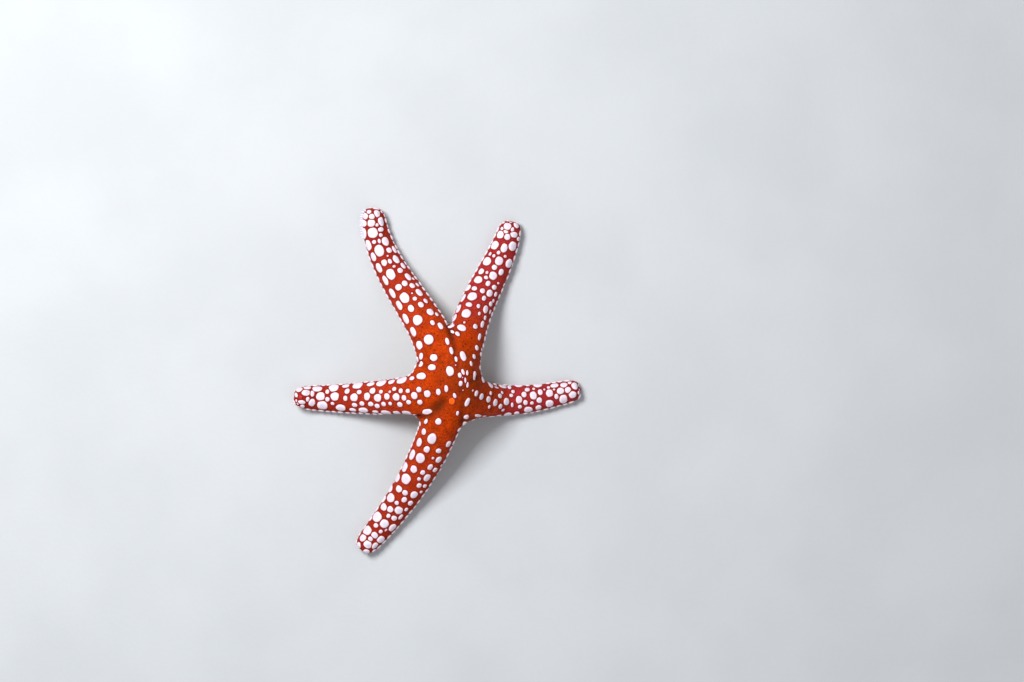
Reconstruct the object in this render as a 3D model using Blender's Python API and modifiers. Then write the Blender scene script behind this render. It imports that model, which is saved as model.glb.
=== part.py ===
"""A sea star with slender arms, draped over a low hump, at life size in metres.

+Z is up, +X is to the right and +Y is away from a viewer who looks down on it. The origin is
on the floor, under the middle of the star's outline.
"""

import math

import bmesh
import bpy
from mathutils import Matrix, Vector

# The disc and the hump that the star lies over
DISC_CENTRE = Vector((0.0057, 0.0010))
DISC_THICKNESS = 0.0058
HUMP_HEIGHT = 0.0095
RIDGE_OFFSET = 0.0015          # the ridge runs this far to the left of the disc's centre
RIDGE_HEADING = math.radians(98.5)
LEFT_RUN = 0.029               # the hump's length on each side of its ridge, and along it
RIGHT_RUN = 0.0105
END_RUN = 0.032

# Each arm, counterclockwise: where its midline starts from the disc's centre, its length seen
# from above, its headings in degrees and its half widths at the root, the middle and the tip, how
# far its tip curls up, the share of its length where it is cut from the disc, where its terminal
# plate lies from the disc's centre, and how far up its eye spot faces, in degrees
ARMS = (
    dict(name="right", start=(0.0032, -0.0049), length=0.0219, headings=(-12, 7, 12),
         half_widths=(0.0035, 0.00285, 0.0021), curl=0.0008, root_cut=0.10,
         tip_plate=(0.0240, -0.0023), eye_tilt=-32),
    dict(name="upper_right", start=(0.0004, 0.0059), length=0.0291, headings=(85, 64, 79),
         half_widths=(0.0041, 0.0034, 0.0022), curl=0.0008, root_cut=0.23,
         tip_plate=(0.0094, 0.0322), eye_tilt=-32),
    dict(name="upper_left", start=(-0.0058, 0.0064), length=0.0331, headings=(113, 122.5, 88),
         half_widths=(0.0042, 0.0034, 0.0023), curl=0.0012, root_cut=0.16,
         tip_plate=(-0.0188, 0.0350), eye_tilt=-32),
    dict(name="left", start=(-0.0078, -0.0038), length=0.0285, headings=(187, 182, 176),
         half_widths=(0.0040, 0.0032, 0.0022), curl=0.0024, root_cut=0.17,
         tip_plate=(-0.0342, -0.0038), eye_tilt=38),
    dict(name="lower", start=(-0.0038, -0.0071), length=0.0361, headings=(254, 238, 228),
         half_widths=(0.0041, 0.0034, 0.0022), curl=0.0008, root_cut=0.16,
         tip_plate=(-0.0208, -0.0366), eye_tilt=-32),
)
# The valley between each arm and the next, from the disc's centre
VALLEYS = (
    (0.0020, -0.0006),
    (-0.0030, 0.0107),
    (-0.0092, 0.0027),
    (-0.0098, -0.0092),
    (0.0000, -0.0097),
)
VALLEY_THICKNESS = 0.0050
VALLEY_INSET = 0.0008          # how far a valley's upper and lower edges lie inside its middle

# The arms' sections
STATIONS = (0.10, 0.24, 0.40, 0.56, 0.72, 0.85, 0.94, 1.0)
TIP_SIZE = 0.80                # the last section's size, at the round end
TIP_REACH = 1.005              # how far along the arm the end's middle lies
HEIGHT_RATIO = 0.80            # half height over half width, above the midline
BELLY_RATIO = 0.68             # the same below it, where the arm is flatter
BELLY_WIDTH = 1.12             # the flat belly is this much wider than a round one
BELLY_EDGE = 0.92              # and its edges lie this share as low as its middle
CAGE_SWELL = 1.11              # the smoothed surface lies inside its cage by this much
FLOOR_SINK = 0.0004            # the belly is flattened on the floor by this much
MIDLINE_STEPS = 60
CURL_START = 0.82              # the tip's curl starts at this share of the arm

# The furrow under each arm, and the mouth
FURROW_RADIUS = 0.00075
FURROW_SINK = 0.00035          # how far the furrow's axis lies inside the belly
FURROW_END = 0.93
FURROW_STEPS = 8
MOUTH_RADIUS = 0.0016
MOUTH_DEPTH = 0.0015
MEMBRANE_DEPTH = 0.0008
JAW_REACH = 0.0019             # how far the jaws' middles lie from the mouth's
JAW_SIZE = (0.0009, 0.0006)

# Plates: each is a low dome with a sunk root
PLATE_RISE = 0.00030
PLATE_ROOT = 0.00045
PLATE_CROWN = 0.72             # the outer face's width over the root's
PLATE_SIDES = 6
DOME = 0.00010
CUT_CLEARANCE = 0.00035        # a plate keeps this far from a cut between nodes
MILLIMETRE = 0.001
VIEWER = Vector((0.0161, 0.0084, 0.526))   # the plates' places are as seen from here
SEEN_HEIGHT = 0.003            # and measured at this height
SEEN_STEP = 0.0001             # a place seen beside the body is moved toward its midline in steps
STEEPEST_PART = 0.5            # a plate on a steep side is made at most this much longer than seen
EDGE_TURN = 100                # degrees round from the crest of the row of plates under each edge
EDGE_SPACING = 0.0030
EDGE_PLATE = (0.00080, 0.00052)
ROW_START = 0.05
ROW_END = 0.90

# The plates as seen from above: x and y from the disc's centre, length along the arm and
# width, in millimetres
PLATES = {
    "right": (
        (23.5, -4.2, 1.6, 1.6), (22.5, -3.2, 1.3, 1.4), (21.6, -2.2, 1.5, 0.9), (20.9, -3.4, 1.5, 1.3),
        (21.5, -5.2, 1.6, 1.8), (19.6, -2.3, 1.6, 0.9), (18.5, -3.9, 1.5, 1.5), (18.5, -6.1, 1.6, 1.5),
        (16.3, -5.4, 1.2, 1.2), (16.5, -3.7, 1.0, 1.2), (16.0, -2.2, 1.9, 1.0), (16.1, -6.9, 1.3, 0.9),
        (15.0, -4.4, 1.5, 1.7), (13.9, -7.4, 1.9, 1.2), (13.0, -4.2, 1.1, 1.2), (11.9, -5.3, 1.4, 1.6),
        (11.8, -2.3, 1.9, 1.1), (9.4, -8.4, 1.8, 0.8), (9.1, -5.7, 1.2, 1.6), (8.3, -2.5, 1.9, 1.0),
        (6.7, -5.9, 0.9, 1.6), (5.9, -8.8, 1.6, 0.8), (5.2, -5.2, 0.9, 1.4),
    ),
    "upper_right": (
        (10.8, 30.4, 1.4, 1.5), (7.9, 30.4, 1.6, 1.3), (9.4, 29.9, 1.2, 1.2), (6.7, 28.1, 1.8, 1.4),
        (8.7, 27.5, 1.8, 1.3), (10.5, 27.9, 1.9, 1.5), (5.0, 24.6, 1.9, 1.6), (7.6, 24.7, 1.8, 1.7),
        (9.7, 24.2, 1.9, 1.2), (6.6, 23.3, 1.1, 1.1), (3.8, 22.4, 1.4, 1.0), (8.0, 22.3, 1.4, 1.0),
        (6.3, 21.5, 1.7, 1.7), (3.1, 20.6, 1.7, 1.7), (5.2, 19.8, 1.2, 1.0), (0.9, 18.8, 1.7, 1.0),
        (4.0, 18.2, 1.1, 1.1), (5.5, 17.7, 1.6, 1.3), (1.8, 17.0, 1.9, 2.0), (-0.1, 16.6, 1.9, 0.8),
        (1.1, 15.2, 1.0, 1.4), (-1.1, 14.3, 1.9, 0.9), (4.6, 14.2, 1.7, 1.1), (0.5, 13.3, 1.9, 1.9),
        (-2.0, 12.3, 1.8, 1.0), (3.9, 11.0, 1.5, 0.8),
    ),
    "upper_left": (
        (-19.9, 34.3, 1.1, 1.2), (-21.3, 34.4, 1.3, 1.1), (-20.0, 32.9, 1.5, 1.8), (-21.7, 32.9, 1.5, 1.2),
        (-18.0, 33.2, 1.9, 1.0), (-19.7, 30.8, 2.1, 2.1), (-21.6, 30.7, 2.3, 1.1), (-17.0, 28.9, 1.9, 1.3),
        (-20.6, 28.1, 2.2, 1.1), (-18.3, 26.9, 2.4, 2.0), (-16.2, 27.0, 1.2, 1.0), (-19.5, 25.6, 1.9, 1.0),
        (-17.2, 24.3, 1.4, 1.2), (-14.7, 25.0, 2.0, 1.1), (-18.3, 23.2, 2.2, 1.1), (-13.8, 22.6, 1.2, 1.1),
        (-15.8, 21.8, 2.4, 1.9), (-12.1, 21.2, 1.9, 1.1), (-16.9, 20.5, 2.3, 1.0), (-12.8, 19.8, 1.3, 1.2),
        (-11.2, 19.3, 1.2, 1.0), (-14.1, 19.0, 1.4, 1.4), (-15.4, 17.7, 2.3, 1.1), (-9.7, 17.8, 1.8, 1.1),
        (-12.8, 16.7, 2.3, 2.0), (-9.3, 15.2, 1.3, 1.1), (-13.9, 15.1, 2.2, 1.1), (-11.4, 14.4, 1.6, 1.3),
        (-7.3, 13.6, 1.6, 1.3), (-12.5, 12.2, 2.3, 1.2), (-10.0, 11.9, 2.2, 2.1), (-5.1, 10.6, 1.6, 0.9),
        (-10.9, 9.4, 2.1, 1.2), (-7.6, 7.7, 2.1, 2.1), (-9.6, 6.5, 1.8, 1.4),
    ),
    "left": (
        (-9.2, -0.2, 2.1, 1.4), (-13.3, -1.1, 2.4, 1.5), (-15.6, -1.5, 1.4, 1.0), (-17.8, -1.7, 2.2, 1.5),
        (-20.1, -2.0, 1.7, 0.9), (-22.9, -2.2, 2.2, 1.5), (-28.1, -2.7, 2.2, 1.6), (-31.7, -3.0, 2.0, 1.0),
        (-9.7, -3.1, 1.1, 1.2), (-19.7, -3.4, 1.3, 1.3), (-22.6, -3.7, 1.2, 1.0), (-25.2, -3.5, 1.1, 1.1),
        (-7.9, -4.0, 1.4, 1.5), (-10.7, -4.4, 1.3, 1.6), (-12.9, -4.9, 1.0, 1.2), (-14.6, -4.7, 1.5, 1.6),
        (-16.6, -4.6, 1.2, 1.4), (-18.6, -4.9, 1.6, 1.8), (-20.9, -4.6, 1.3, 1.7), (-23.7, -4.8, 1.8, 1.8),
        (-27.9, -4.6, 1.8, 1.8), (-31.0, -4.6, 1.8, 1.7), (-32.8, -4.0, 1.2, 1.2), (-33.8, -5.2, 1.1, 1.1),
        (-35.1, -5.8, 1.6, 1.1), (-32.9, -5.9, 1.7, 1.7), (-35.6, -3.1, 1.3, 1.1), (-33.9, -2.8, 1.5, 0.8),
        (-9.5, -5.8, 1.1, 1.1), (-13.8, -6.3, 1.2, 1.1), (-20.1, -6.2, 1.2, 1.0), (-8.0, -7.9, 2.0, 1.2),
        (-12.2, -8.1, 2.1, 1.2), (-14.5, -8.0, 1.5, 0.9), (-16.8, -8.0, 2.1, 1.2), (-21.7, -7.5, 2.1, 1.2),
        (-26.6, -7.0, 2.1, 1.4), (-30.6, -6.5, 2.1, 1.8),
    ),
    "lower": (
        (-5.5, -10.0, 1.4, 1.3), (-8.6, -12.2, 1.4, 1.0), (-6.9, -13.7, 2.4, 1.9), (-9.6, -14.5, 1.9, 1.2),
        (-8.0, -16.0, 1.4, 1.3), (-5.5, -16.3, 1.1, 1.1), (-3.4, -14.8, 1.5, 0.9), (-11.1, -17.2, 2.4, 1.1),
        (-9.4, -17.9, 2.2, 2.0), (-5.5, -18.2, 1.5, 1.1), (-7.3, -19.8, 1.4, 1.0), (-10.8, -20.3, 1.6, 1.5),
        (-12.7, -19.9, 2.1, 1.1), (-12.5, -22.4, 2.2, 2.1), (-8.0, -22.1, 1.8, 1.2), (-14.3, -22.2, 1.9, 1.0),
        (-14.0, -24.6, 1.4, 1.4), (-15.8, -24.6, 2.0, 1.1), (-12.7, -25.4, 1.2, 1.2), (-10.8, -25.8, 1.7, 1.4),
        (-15.8, -26.5, 2.1, 2.0), (-12.9, -26.9, 1.3, 1.1), (-17.4, -26.7, 1.8, 0.9), (-17.3, -28.5, 1.4, 1.4),
        (-15.9, -29.0, 1.3, 1.3), (-14.1, -29.2, 1.7, 1.6), (-18.8, -30.6, 2.1, 2.0), (-15.1, -30.9, 1.1, 1.1),
        (-17.2, -32.1, 1.8, 1.7), (-15.5, -32.9, 1.8, 1.0), (-20.9, -33.6, 2.0, 1.9), (-19.3, -34.6, 1.4, 1.4),
        (-18.0, -35.5, 1.6, 1.2), (-20.2, -35.4, 1.2, 1.0), (-21.8, -35.2, 1.6, 1.5), (-19.3, -36.8, 1.6, 1.1),
    ),
}
# The same on the disc, each with its heading in degrees
DISC_PLATES = (
    (-9.2, 4.1, 1.5, 0.8, 80), (-6.5, 3.8, 1.6, 1.5, 0), (-6.9, 1.7, 1.7, 1.3, 0), (-3.0, 0.9, 2.2, 1.6, 105),
    (-2.7, 5.3, 1.6, 0.8, 105), (-3.6, 7.3, 1.6, 0.8, 105), (-1.4, 8.9, 1.6, 0.8, 130), (-0.5, 10.2, 2.0, 1.3, 155),
    (-0.2, 4.1, 2.2, 1.1, 105), (-3.8, -2.9, 1.5, 0.8, 90), (0.7, -5.8, 2.1, 0.8, 75), (-5.5, -3.6, 1.4, 1.0, 85),
    (5.6, -2.1, 1.8, 0.9, -30),
)

# Tube feet in the furrow, by turns on its two sides, and the spines along its edges
FOOT_SPACING = 0.0024
FOOT_OFFSET = 0.00030
FOOT_RADIUS = 0.00029
FOOT_LENGTH = 0.0019
FOOT_CLEARANCE = 0.0002        # feet over the floor end this far above it
SPINE_SPACING = 0.0032
SPINE_TURN = 22                # degrees from straight down to the spines' roots
SPINE_RADIUS = 0.00030
SPINE_LENGTH = 0.0009
ROOT_DEPTH = 0.0004            # how deep a foot's or a spine's root is sunk

# The cuts between the nodes
GAP = 0.0003
MIDDLE_CUT = 0.56
SLICE_REACH = 1.22             # a slice's radius over the arm's half width

# The small single pieces, each standing this proud of its pocket
PROUD = 0.00035
TIP_PLATE_RADIUS = 0.0008
TIP_PLATE_DEPTH = 0.0008
EYE_SPOT_RADIUS = 0.00045
EYE_SPOT_DEPTH = 0.0008
MADREPORITE_PLACE = (-0.0026, -0.0056)
MADREPORITE_RADIUS = 0.0006
MADREPORITE_DEPTH = 0.0011

SCARLET = (0.55, 0.035, 0.006, 1.0)
WHITE = (0.80, 0.76, 0.80, 1.0)
CRIMSON = (0.30, 0.005, 0.008, 1.0)
ORANGE = (0.90, 0.16, 0.003, 1.0)
PALE = (0.75, 0.45, 0.25, 1.0)


def clear_scene():
    for old in list(bpy.data.objects):
        bpy.data.objects.remove(old)


def new_collection(name):
    made = bpy.data.collections.new(name)
    bpy.context.scene.collection.children.link(made)
    return made


def material(name, colour, roughness):
    made = bpy.data.materials.new(name)
    made.use_nodes = True
    shader = made.node_tree.nodes["Principled BSDF"]
    shader.inputs["Base Color"].default_value = colour
    shader.inputs["Roughness"].default_value = roughness
    shader.inputs["Metallic"].default_value = 0.0
    return made


def add_object(name, mesh, collection, finish=None):
    made = bpy.data.objects.new(name, mesh)
    collection.objects.link(made)
    if finish:
        mesh.materials.clear()
        mesh.materials.append(finish)
    return made


def add_from_bmesh(name, bm, collection, finish=None):
    mesh = bpy.data.meshes.new(name)
    bm.to_mesh(mesh)
    bm.free()
    return add_object(name, mesh, collection, finish)


def apply_modifiers(target):
    """Keeps the object's evaluated mesh as its own."""
    bpy.context.view_layer.update()
    evaluated = target.evaluated_get(bpy.context.evaluated_depsgraph_get())
    mesh = bpy.data.meshes.new_from_object(evaluated)
    target.modifiers.clear()
    target.data = mesh
    bpy.context.view_layer.update()


def boolean(target, operation, tools):
    """Cuts or joins the collection's meshes and keeps the result, then removes them."""
    change = target.modifiers.new(operation.title(), "BOOLEAN")
    change.operation = operation
    change.operand_type = "COLLECTION"
    change.collection = tools
    change.solver = "MANIFOLD"
    apply_modifiers(target)
    for tool in list(tools.objects):
        bpy.data.objects.remove(tool)


def bell(distance, run):
    """Falls smoothly from 1 to 0 over the run."""
    share = min(abs(distance) / run, 1.0)
    return 0.5 + 0.5 * math.cos(math.pi * share)


def hump(x, y):
    """The height of what the star lies over."""
    along = Vector((math.cos(RIDGE_HEADING), math.sin(RIDGE_HEADING)))
    across = Vector((along.y, -along.x))
    place = Vector((x, y)) - DISC_CENTRE
    right = place.dot(across) + RIDGE_OFFSET
    run = RIGHT_RUN if right > 0 else LEFT_RUN
    return HUMP_HEIGHT * bell(right, run) * bell(place.dot(along), END_RUN)


def hump_normal(x, y, reach=0.001):
    """Which way the hump faces, over a few millimetres."""
    slope_x = (hump(x + reach, y) - hump(x - reach, y)) / (2 * reach)
    slope_y = (hump(x, y + reach) - hump(x, y - reach)) / (2 * reach)
    return Vector((-slope_x, -slope_y, 1.0)).normalized()


def inside_disc(x, y):
    """A point half way through the disc's thickness."""
    return Vector((x, y, hump(x, y) + DISC_THICKNESS / 2))


def through(values, s):
    """The value at s of the parabola through the root's, the middle's and the tip's value."""
    root, middle, tip = values
    return root * (1 - s) * (1 - 2 * s) + 4 * middle * s * (1 - s) + tip * s * (2 * s - 1)


class Arm:
    """One arm, by the share s of its length, 0 at the root and 1 at the tip."""

    def __init__(
        self, name, start, length, headings, half_widths, curl, root_cut, tip_plate, eye_tilt
    ):
        self.name = name
        self.length = length
        self.half_widths = half_widths
        self.curl = curl
        self.cuts = (root_cut, MIDDLE_CUT)
        self.tip_plate = tip_plate
        self.eye_tilt = math.radians(eye_tilt)
        self.plan = [DISC_CENTRE + Vector(start)]
        for i in range(MIDLINE_STEPS):
            heading = math.radians(through(headings, (i + 0.5) / MIDLINE_STEPS))
            step = Vector((math.cos(heading), math.sin(heading))) * length / MIDLINE_STEPS
            self.plan.append(self.plan[-1] + step)

    def half_width(self, s):
        return through(self.half_widths, s)

    def centre(self, s):
        """The midline's point, over the hump or on the floor."""
        place = s * MIDLINE_STEPS
        first = min(max(int(place), 0), MIDLINE_STEPS - 1)
        x, y = self.plan[first].lerp(self.plan[first + 1], place - first)
        lift = self.curl * max(0.0, (s - CURL_START) / (1 - CURL_START)) ** 2
        belly = BELLY_RATIO * self.half_width(min(s, 1.0)) - FLOOR_SINK
        return Vector((x, y, hump(x, y) + belly + lift))

    def frame(self, s, step=0.01):
        """The midline's point, and the directions along the arm, to its right and up through it."""
        point = self.centre(s)
        along = (self.centre(s + step) - self.centre(s - step)).normalized()
        right = along.cross(hump_normal(point.x, point.y)).normalized()
        return point, along, right, right.cross(along)

    def section_point(self, s, spot, size=1.0):
        """A corner of the cage: spots 0 to 7 go round from the lower right, and 8 is the middle."""
        point, along, right, up = self.frame(s)
        if spot == 8:
            return point
        turn = math.radians(45 * spot - 45)
        across = math.cos(turn)
        rise = math.sin(turn)
        if rise > 0:
            rise *= HEIGHT_RATIO
        elif rise < 0:
            across *= BELLY_WIDTH
            rise = -BELLY_RATIO * (1.0 if spot == 7 else BELLY_EDGE)
        half_width = self.half_width(s) * CAGE_SWELL * size
        return point + half_width * (across * right + rise * up)

    def outward(self, s, turn):
        """The midline's point and a direction out of it, turned in degrees to the left of up."""
        point, along, right, up = self.frame(s)
        angle = math.radians(turn)
        return point, up * math.cos(angle) - right * math.sin(angle)

    def share_beside(self, place):
        """The share of the arm that lies nearest to a place in plan."""
        first = min(range(MIDLINE_STEPS), key=lambda i: (self.plan[i] - place).length)
        step = (self.plan[first + 1] - self.plan[first]).normalized()
        return first / MIDLINE_STEPS + (place - self.plan[first]).dot(step) / self.length

    def clear_of_cuts(self, s, half_length):
        """The share nearest to s where a plate of this half length crosses no cut."""
        margin = (half_length + CUT_CLEARANCE) / self.length
        for cut in self.cuts:
            if abs(s - cut) < margin:
                return cut + math.copysign(margin, s - cut)
        return s


def disc_cage(bm):
    """A ten-sided drum of two layers, whose corners are the arms' roots and the valleys in turn."""
    sides = 2 * len(ARMS)
    bmesh.ops.create_cone(
        bm, cap_ends=True, cap_tris=True, segments=sides, radius1=1, radius2=1, depth=2
    )
    bmesh.ops.bisect_plane(
        bm, geom=bm.verts[:] + bm.edges[:] + bm.faces[:], plane_co=(0, 0, 0), plane_no=(0, 0, 1)
    )
    corners = {}
    for corner in bm.verts:
        level = round(corner.co.z)
        if corner.co.xy.length < 0.5:
            corners["centre", level] = corner
        else:
            turn = math.degrees(math.atan2(corner.co.y, corner.co.x)) - 18
            corners[round(turn * sides / 360) % sides, level] = corner
    spokes = [
        edge
        for edge in bm.edges
        for level in (-1, 1)
        if corners["centre", level] in edge.verts
        and any(corners[2 * k, level] in edge.verts for k in range(len(ARMS)))
    ]
    bmesh.ops.dissolve_edges(bm, edges=spokes, use_verts=False)
    return corners


def pole_corner(target, edge_sum, face_sum, count):
    """The cage corner whose smoothed place is the target, from its neighbours' sums (Catmull-Clark)."""
    whole = count * (count + 5)
    return (whole * target - 4 * edge_sum - face_sum) / (count * count)


def place_disc(corners, arms):
    """Even corners are the arms' roots, and odd ones the valleys after them."""
    heights = {-1: -BELLY_RATIO, 0: 0.0, 1: HEIGHT_RATIO}
    for k, arm in enumerate(arms):
        point, along, right, up = arm.frame(0.0)
        x, y = DISC_CENTRE + Vector(VALLEYS[k])
        middle = Vector((x, y, hump(x, y) + VALLEY_THICKNESS / 2))
        inward = -Vector((*VALLEYS[k], 0.0)).normalized()
        facing = hump_normal(x, y)
        for level, height in heights.items():
            corners[2 * k, level].co = point + up * height * arm.half_width(0) * CAGE_SWELL
            shift = inward * VALLEY_INSET * abs(level) + facing * VALLEY_THICKNESS / 2 * level
            corners[2 * k + 1, level].co = middle + shift
    x, y = DISC_CENTRE
    for level, height in ((-1, 0.0), (1, DISC_THICKNESS)):
        target = Vector((x, y, hump(x, y) + height))
        roots = sum((corners[2 * k, level].co for k in range(len(arms))), Vector())
        valleys = sum((corners[2 * k + 1, level].co for k in range(len(arms))), Vector())
        corners["centre", level].co = pole_corner(target, valleys, roots, len(arms))


def extrude_arm(bm, arm, k, corners):
    """Draws the four side faces at the arm's root out along its midline, section by section."""
    sides = 2 * len(ARMS)
    right, root, left = (2 * k - 1) % sides, 2 * k, 2 * k + 1
    ring = [
        (right, -1), (right, 0), (right, 1), (root, 1),
        (left, 1), (left, 0), (left, -1), (root, -1), (root, 0),
    ]
    spot = bm.verts.layers.int["spot"]
    for number, key in enumerate(ring):
        corners[key][spot] = number
    faces = list(corners[root, 0].link_faces)
    for s in STATIONS:
        grown = bmesh.ops.extrude_face_region(bm, geom=faces)["geom"]
        bmesh.ops.delete(bm, geom=faces, context="FACES")
        faces = [item for item in grown if isinstance(item, bmesh.types.BMFace)]
        size = TIP_SIZE if s == STATIONS[-1] else 1.0
        for corner in grown:
            if isinstance(corner, bmesh.types.BMVert):
                corner.co = arm.section_point(s, corner[spot], size)
                if corner[spot] == 8:
                    end = corner
    end.co = arm.centre(TIP_REACH)


def star_body(arms, collection):
    """The whole body as one smooth closed mesh, flat where it lies on the floor."""
    bm = bmesh.new()
    bm.verts.layers.int.new("spot")
    corners = disc_cage(bm)
    place_disc(corners, arms)
    for k, arm in enumerate(arms):
        extrude_arm(bm, arm, k, corners)
    bmesh.ops.recalc_face_normals(bm, faces=bm.faces)
    body = add_from_bmesh("star_body", bm, collection)
    smooth = body.modifiers.new("Smooth", "SUBSURF")
    smooth.levels = 1
    smooth.render_levels = 1
    apply_modifiers(body)
    for corner in body.data.vertices:
        corner.co.z = max(corner.co.z, 0.0)
    bpy.context.view_layer.update()
    return body


def surface(body, start, direction):
    """The point where a ray from inside the body leaves it, and the surface's normal there."""
    hit, place, normal, face = body.ray_cast(start, direction)
    return place, normal


def drum(name, matrix, collection, segments, crown=1.0, dome=0.0, finish=None):
    """A short drum of unit radius and depth before its matrix, with a narrower, domed outer face."""
    bm = bmesh.new()
    bmesh.ops.create_cone(
        bm, cap_ends=True, cap_tris=dome > 0, segments=segments, radius1=1, radius2=crown, depth=1
    )
    for corner in bm.verts:
        if corner.co.z > 0 and corner.co.xy.length < 0.5 * crown:
            corner.co.z += dome
    bmesh.ops.transform(bm, matrix=matrix, verts=bm.verts)
    return add_from_bmesh(name, bm, collection, finish)


def placed(place, facing, heading, half_length, half_width, depth):
    """The matrix of a drum that faces one way and is long in another."""
    side = facing.cross(heading).normalized()
    axes = Matrix((side.cross(facing) * half_length, side * half_width, facing * depth))
    return Matrix.Translation(place) @ axes.transposed().to_4x4()


def peg(name, place, facing, radius, depth, collection, segments=12, crown=1.0, finish=None):
    """A round drum with its middle at the place."""
    matrix = placed(place, facing, facing.orthogonal(), radius, radius, depth)
    return drum(name, matrix, collection, segments, crown, finish=finish)


def tube(name, points, radius, collection):
    """A filled six-sided tube through the points, as a mesh."""
    curve = bpy.data.curves.new(name, "CURVE")
    curve.dimensions = "3D"
    curve.bevel_depth = radius
    curve.bevel_resolution = 1
    curve.use_fill_caps = True
    spline = curve.splines.new("POLY")
    spline.points.add(len(points) - 1)
    for node, point in zip(spline.points, points):
        node.co = (*point, 1.0)
    guide = add_object(name + "_guide", curve, collection)
    bpy.context.view_layer.update()
    evaluated = guide.evaluated_get(bpy.context.evaluated_depsgraph_get())
    mesh = bpy.data.meshes.new_from_object(evaluated)
    bpy.data.objects.remove(guide)
    bm = bmesh.new()
    bm.from_mesh(mesh)
    bmesh.ops.remove_doubles(bm, verts=bm.verts, dist=1e-6)
    return add_from_bmesh(name, bm, collection)


def furrow_path(body, arm):
    """Points from the mouth along the middle of the arm's underside, a little inside it."""
    mouth = inside_disc(*DISC_CENTRE)
    half_way = mouth.lerp(arm.centre(0.0), 0.5)
    starts = [(point, -hump_normal(point.x, point.y)) for point in (mouth, half_way)]
    for i in range(FURROW_STEPS + 1):
        starts.append(arm.outward(FURROW_END * i / FURROW_STEPS, 180))
    return [surface(body, start, down)[0] - down * FURROW_SINK for start, down in starts]


def furrows_and_mouth(body, arms, collection, cutters):
    """The furrow along each arm's underside, and the mouth where they meet, with its membrane."""
    for arm in arms:
        tube("furrow", furrow_path(body, arm), FURROW_RADIUS, cutters)
    down = -hump_normal(*DISC_CENTRE)
    mouth, _ = surface(body, inside_disc(*DISC_CENTRE), down)
    peg("mouth_pit", mouth, down, MOUTH_RADIUS, 2 * MOUTH_DEPTH, cutters)
    ceiling = mouth - down * MOUTH_DEPTH
    middle = ceiling + down * (GAP + MEMBRANE_DEPTH / 2)
    pale = material("soft_membrane", PALE, 0.4)
    peg("mouth", middle, down, MOUTH_RADIUS - GAP, MEMBRANE_DEPTH, collection, finish=pale)
    boolean(body, "DIFFERENCE", cutters)
    return mouth, down


def plate(place, facing, heading, half_length, half_width, tools):
    """A low domed scute with its root sunk in."""
    depth = PLATE_ROOT + PLATE_RISE
    middle = place + facing * (PLATE_RISE - depth / 2)
    matrix = placed(middle, facing, heading, half_length, half_width, depth)
    drum("plate", matrix, tools, PLATE_SIDES, PLATE_CROWN, DOME / depth)


def seen_place(body, place, inside):
    """What a viewer from above sees at a place in plan: the point, and the surface's normal."""
    target = Vector((*place, SEEN_HEIGHT))
    while True:
        direction = (target - VIEWER).normalized()
        hit, point, normal, face = body.ray_cast(VIEWER, direction)
        if hit:
            return point, normal
        target += (inside - target).normalized() * SEEN_STEP


def seen_plate(body, place, inside, along, length, width, tools):
    """A plate whose length and width are as seen from above."""
    point, facing = seen_place(body, place, inside)
    across = facing.cross(along).normalized()
    long_way = across.cross(facing)
    half_length = length / 2 / max(long_way.xy.length, STEEPEST_PART)
    half_width = width / 2 / max(across.xy.length, STEEPEST_PART)
    plate(point, facing, along, half_length, half_width, tools)


def arm_plates(body, arm, tools):
    """The plates seen from above on an arm, and a row of plates under each of its edges."""
    for x, y, length, width in PLATES[arm.name]:
        place = DISC_CENTRE + Vector((x, y)) * MILLIMETRE
        s = arm.share_beside(place)
        along = arm.frame(s)[1]
        moved = arm.clear_of_cuts(s, length * MILLIMETRE / 2) - s
        place += along.xy.normalized() * moved * arm.length
        seen_plate(
            body, place, arm.centre(s), along, length * MILLIMETRE, width * MILLIMETRE, tools
        )
    count = round((ROW_END - ROW_START) * arm.length / EDGE_SPACING)
    for i in range(count):
        for side in (1, -1):
            s = ROW_START + (ROW_END - ROW_START) * (i + 0.5) / count
            s = arm.clear_of_cuts(s, EDGE_PLATE[0])
            place, facing = surface(body, *arm.outward(s, side * EDGE_TURN))
            plate(place, facing, arm.frame(s)[1], *EDGE_PLATE, tools)


def disc_plates(body, tools):
    """The scattered plates on the disc's back and the small ring round its middle."""
    for x, y, length, width, heading in DISC_PLATES:
        place = DISC_CENTRE + Vector((x, y)) * MILLIMETRE
        angle = math.radians(heading)
        along = Vector((math.cos(angle), math.sin(angle), 0.0))
        seen_plate(
            body, place, inside_disc(*DISC_CENTRE), along, length * MILLIMETRE,
            width * MILLIMETRE, tools,
        )


def jaws(body, mouth, down, tools):
    """The plates that point into the mouth between the furrows."""
    for valley in VALLEYS:
        outward = Vector((*valley, 0.0))
        outward = (outward - outward.dot(down) * down).normalized()
        start = mouth + outward * JAW_REACH - down * DISC_THICKNESS / 2
        place, facing = surface(body, start, down)
        plate(place, facing, outward, *JAW_SIZE, tools)


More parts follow.
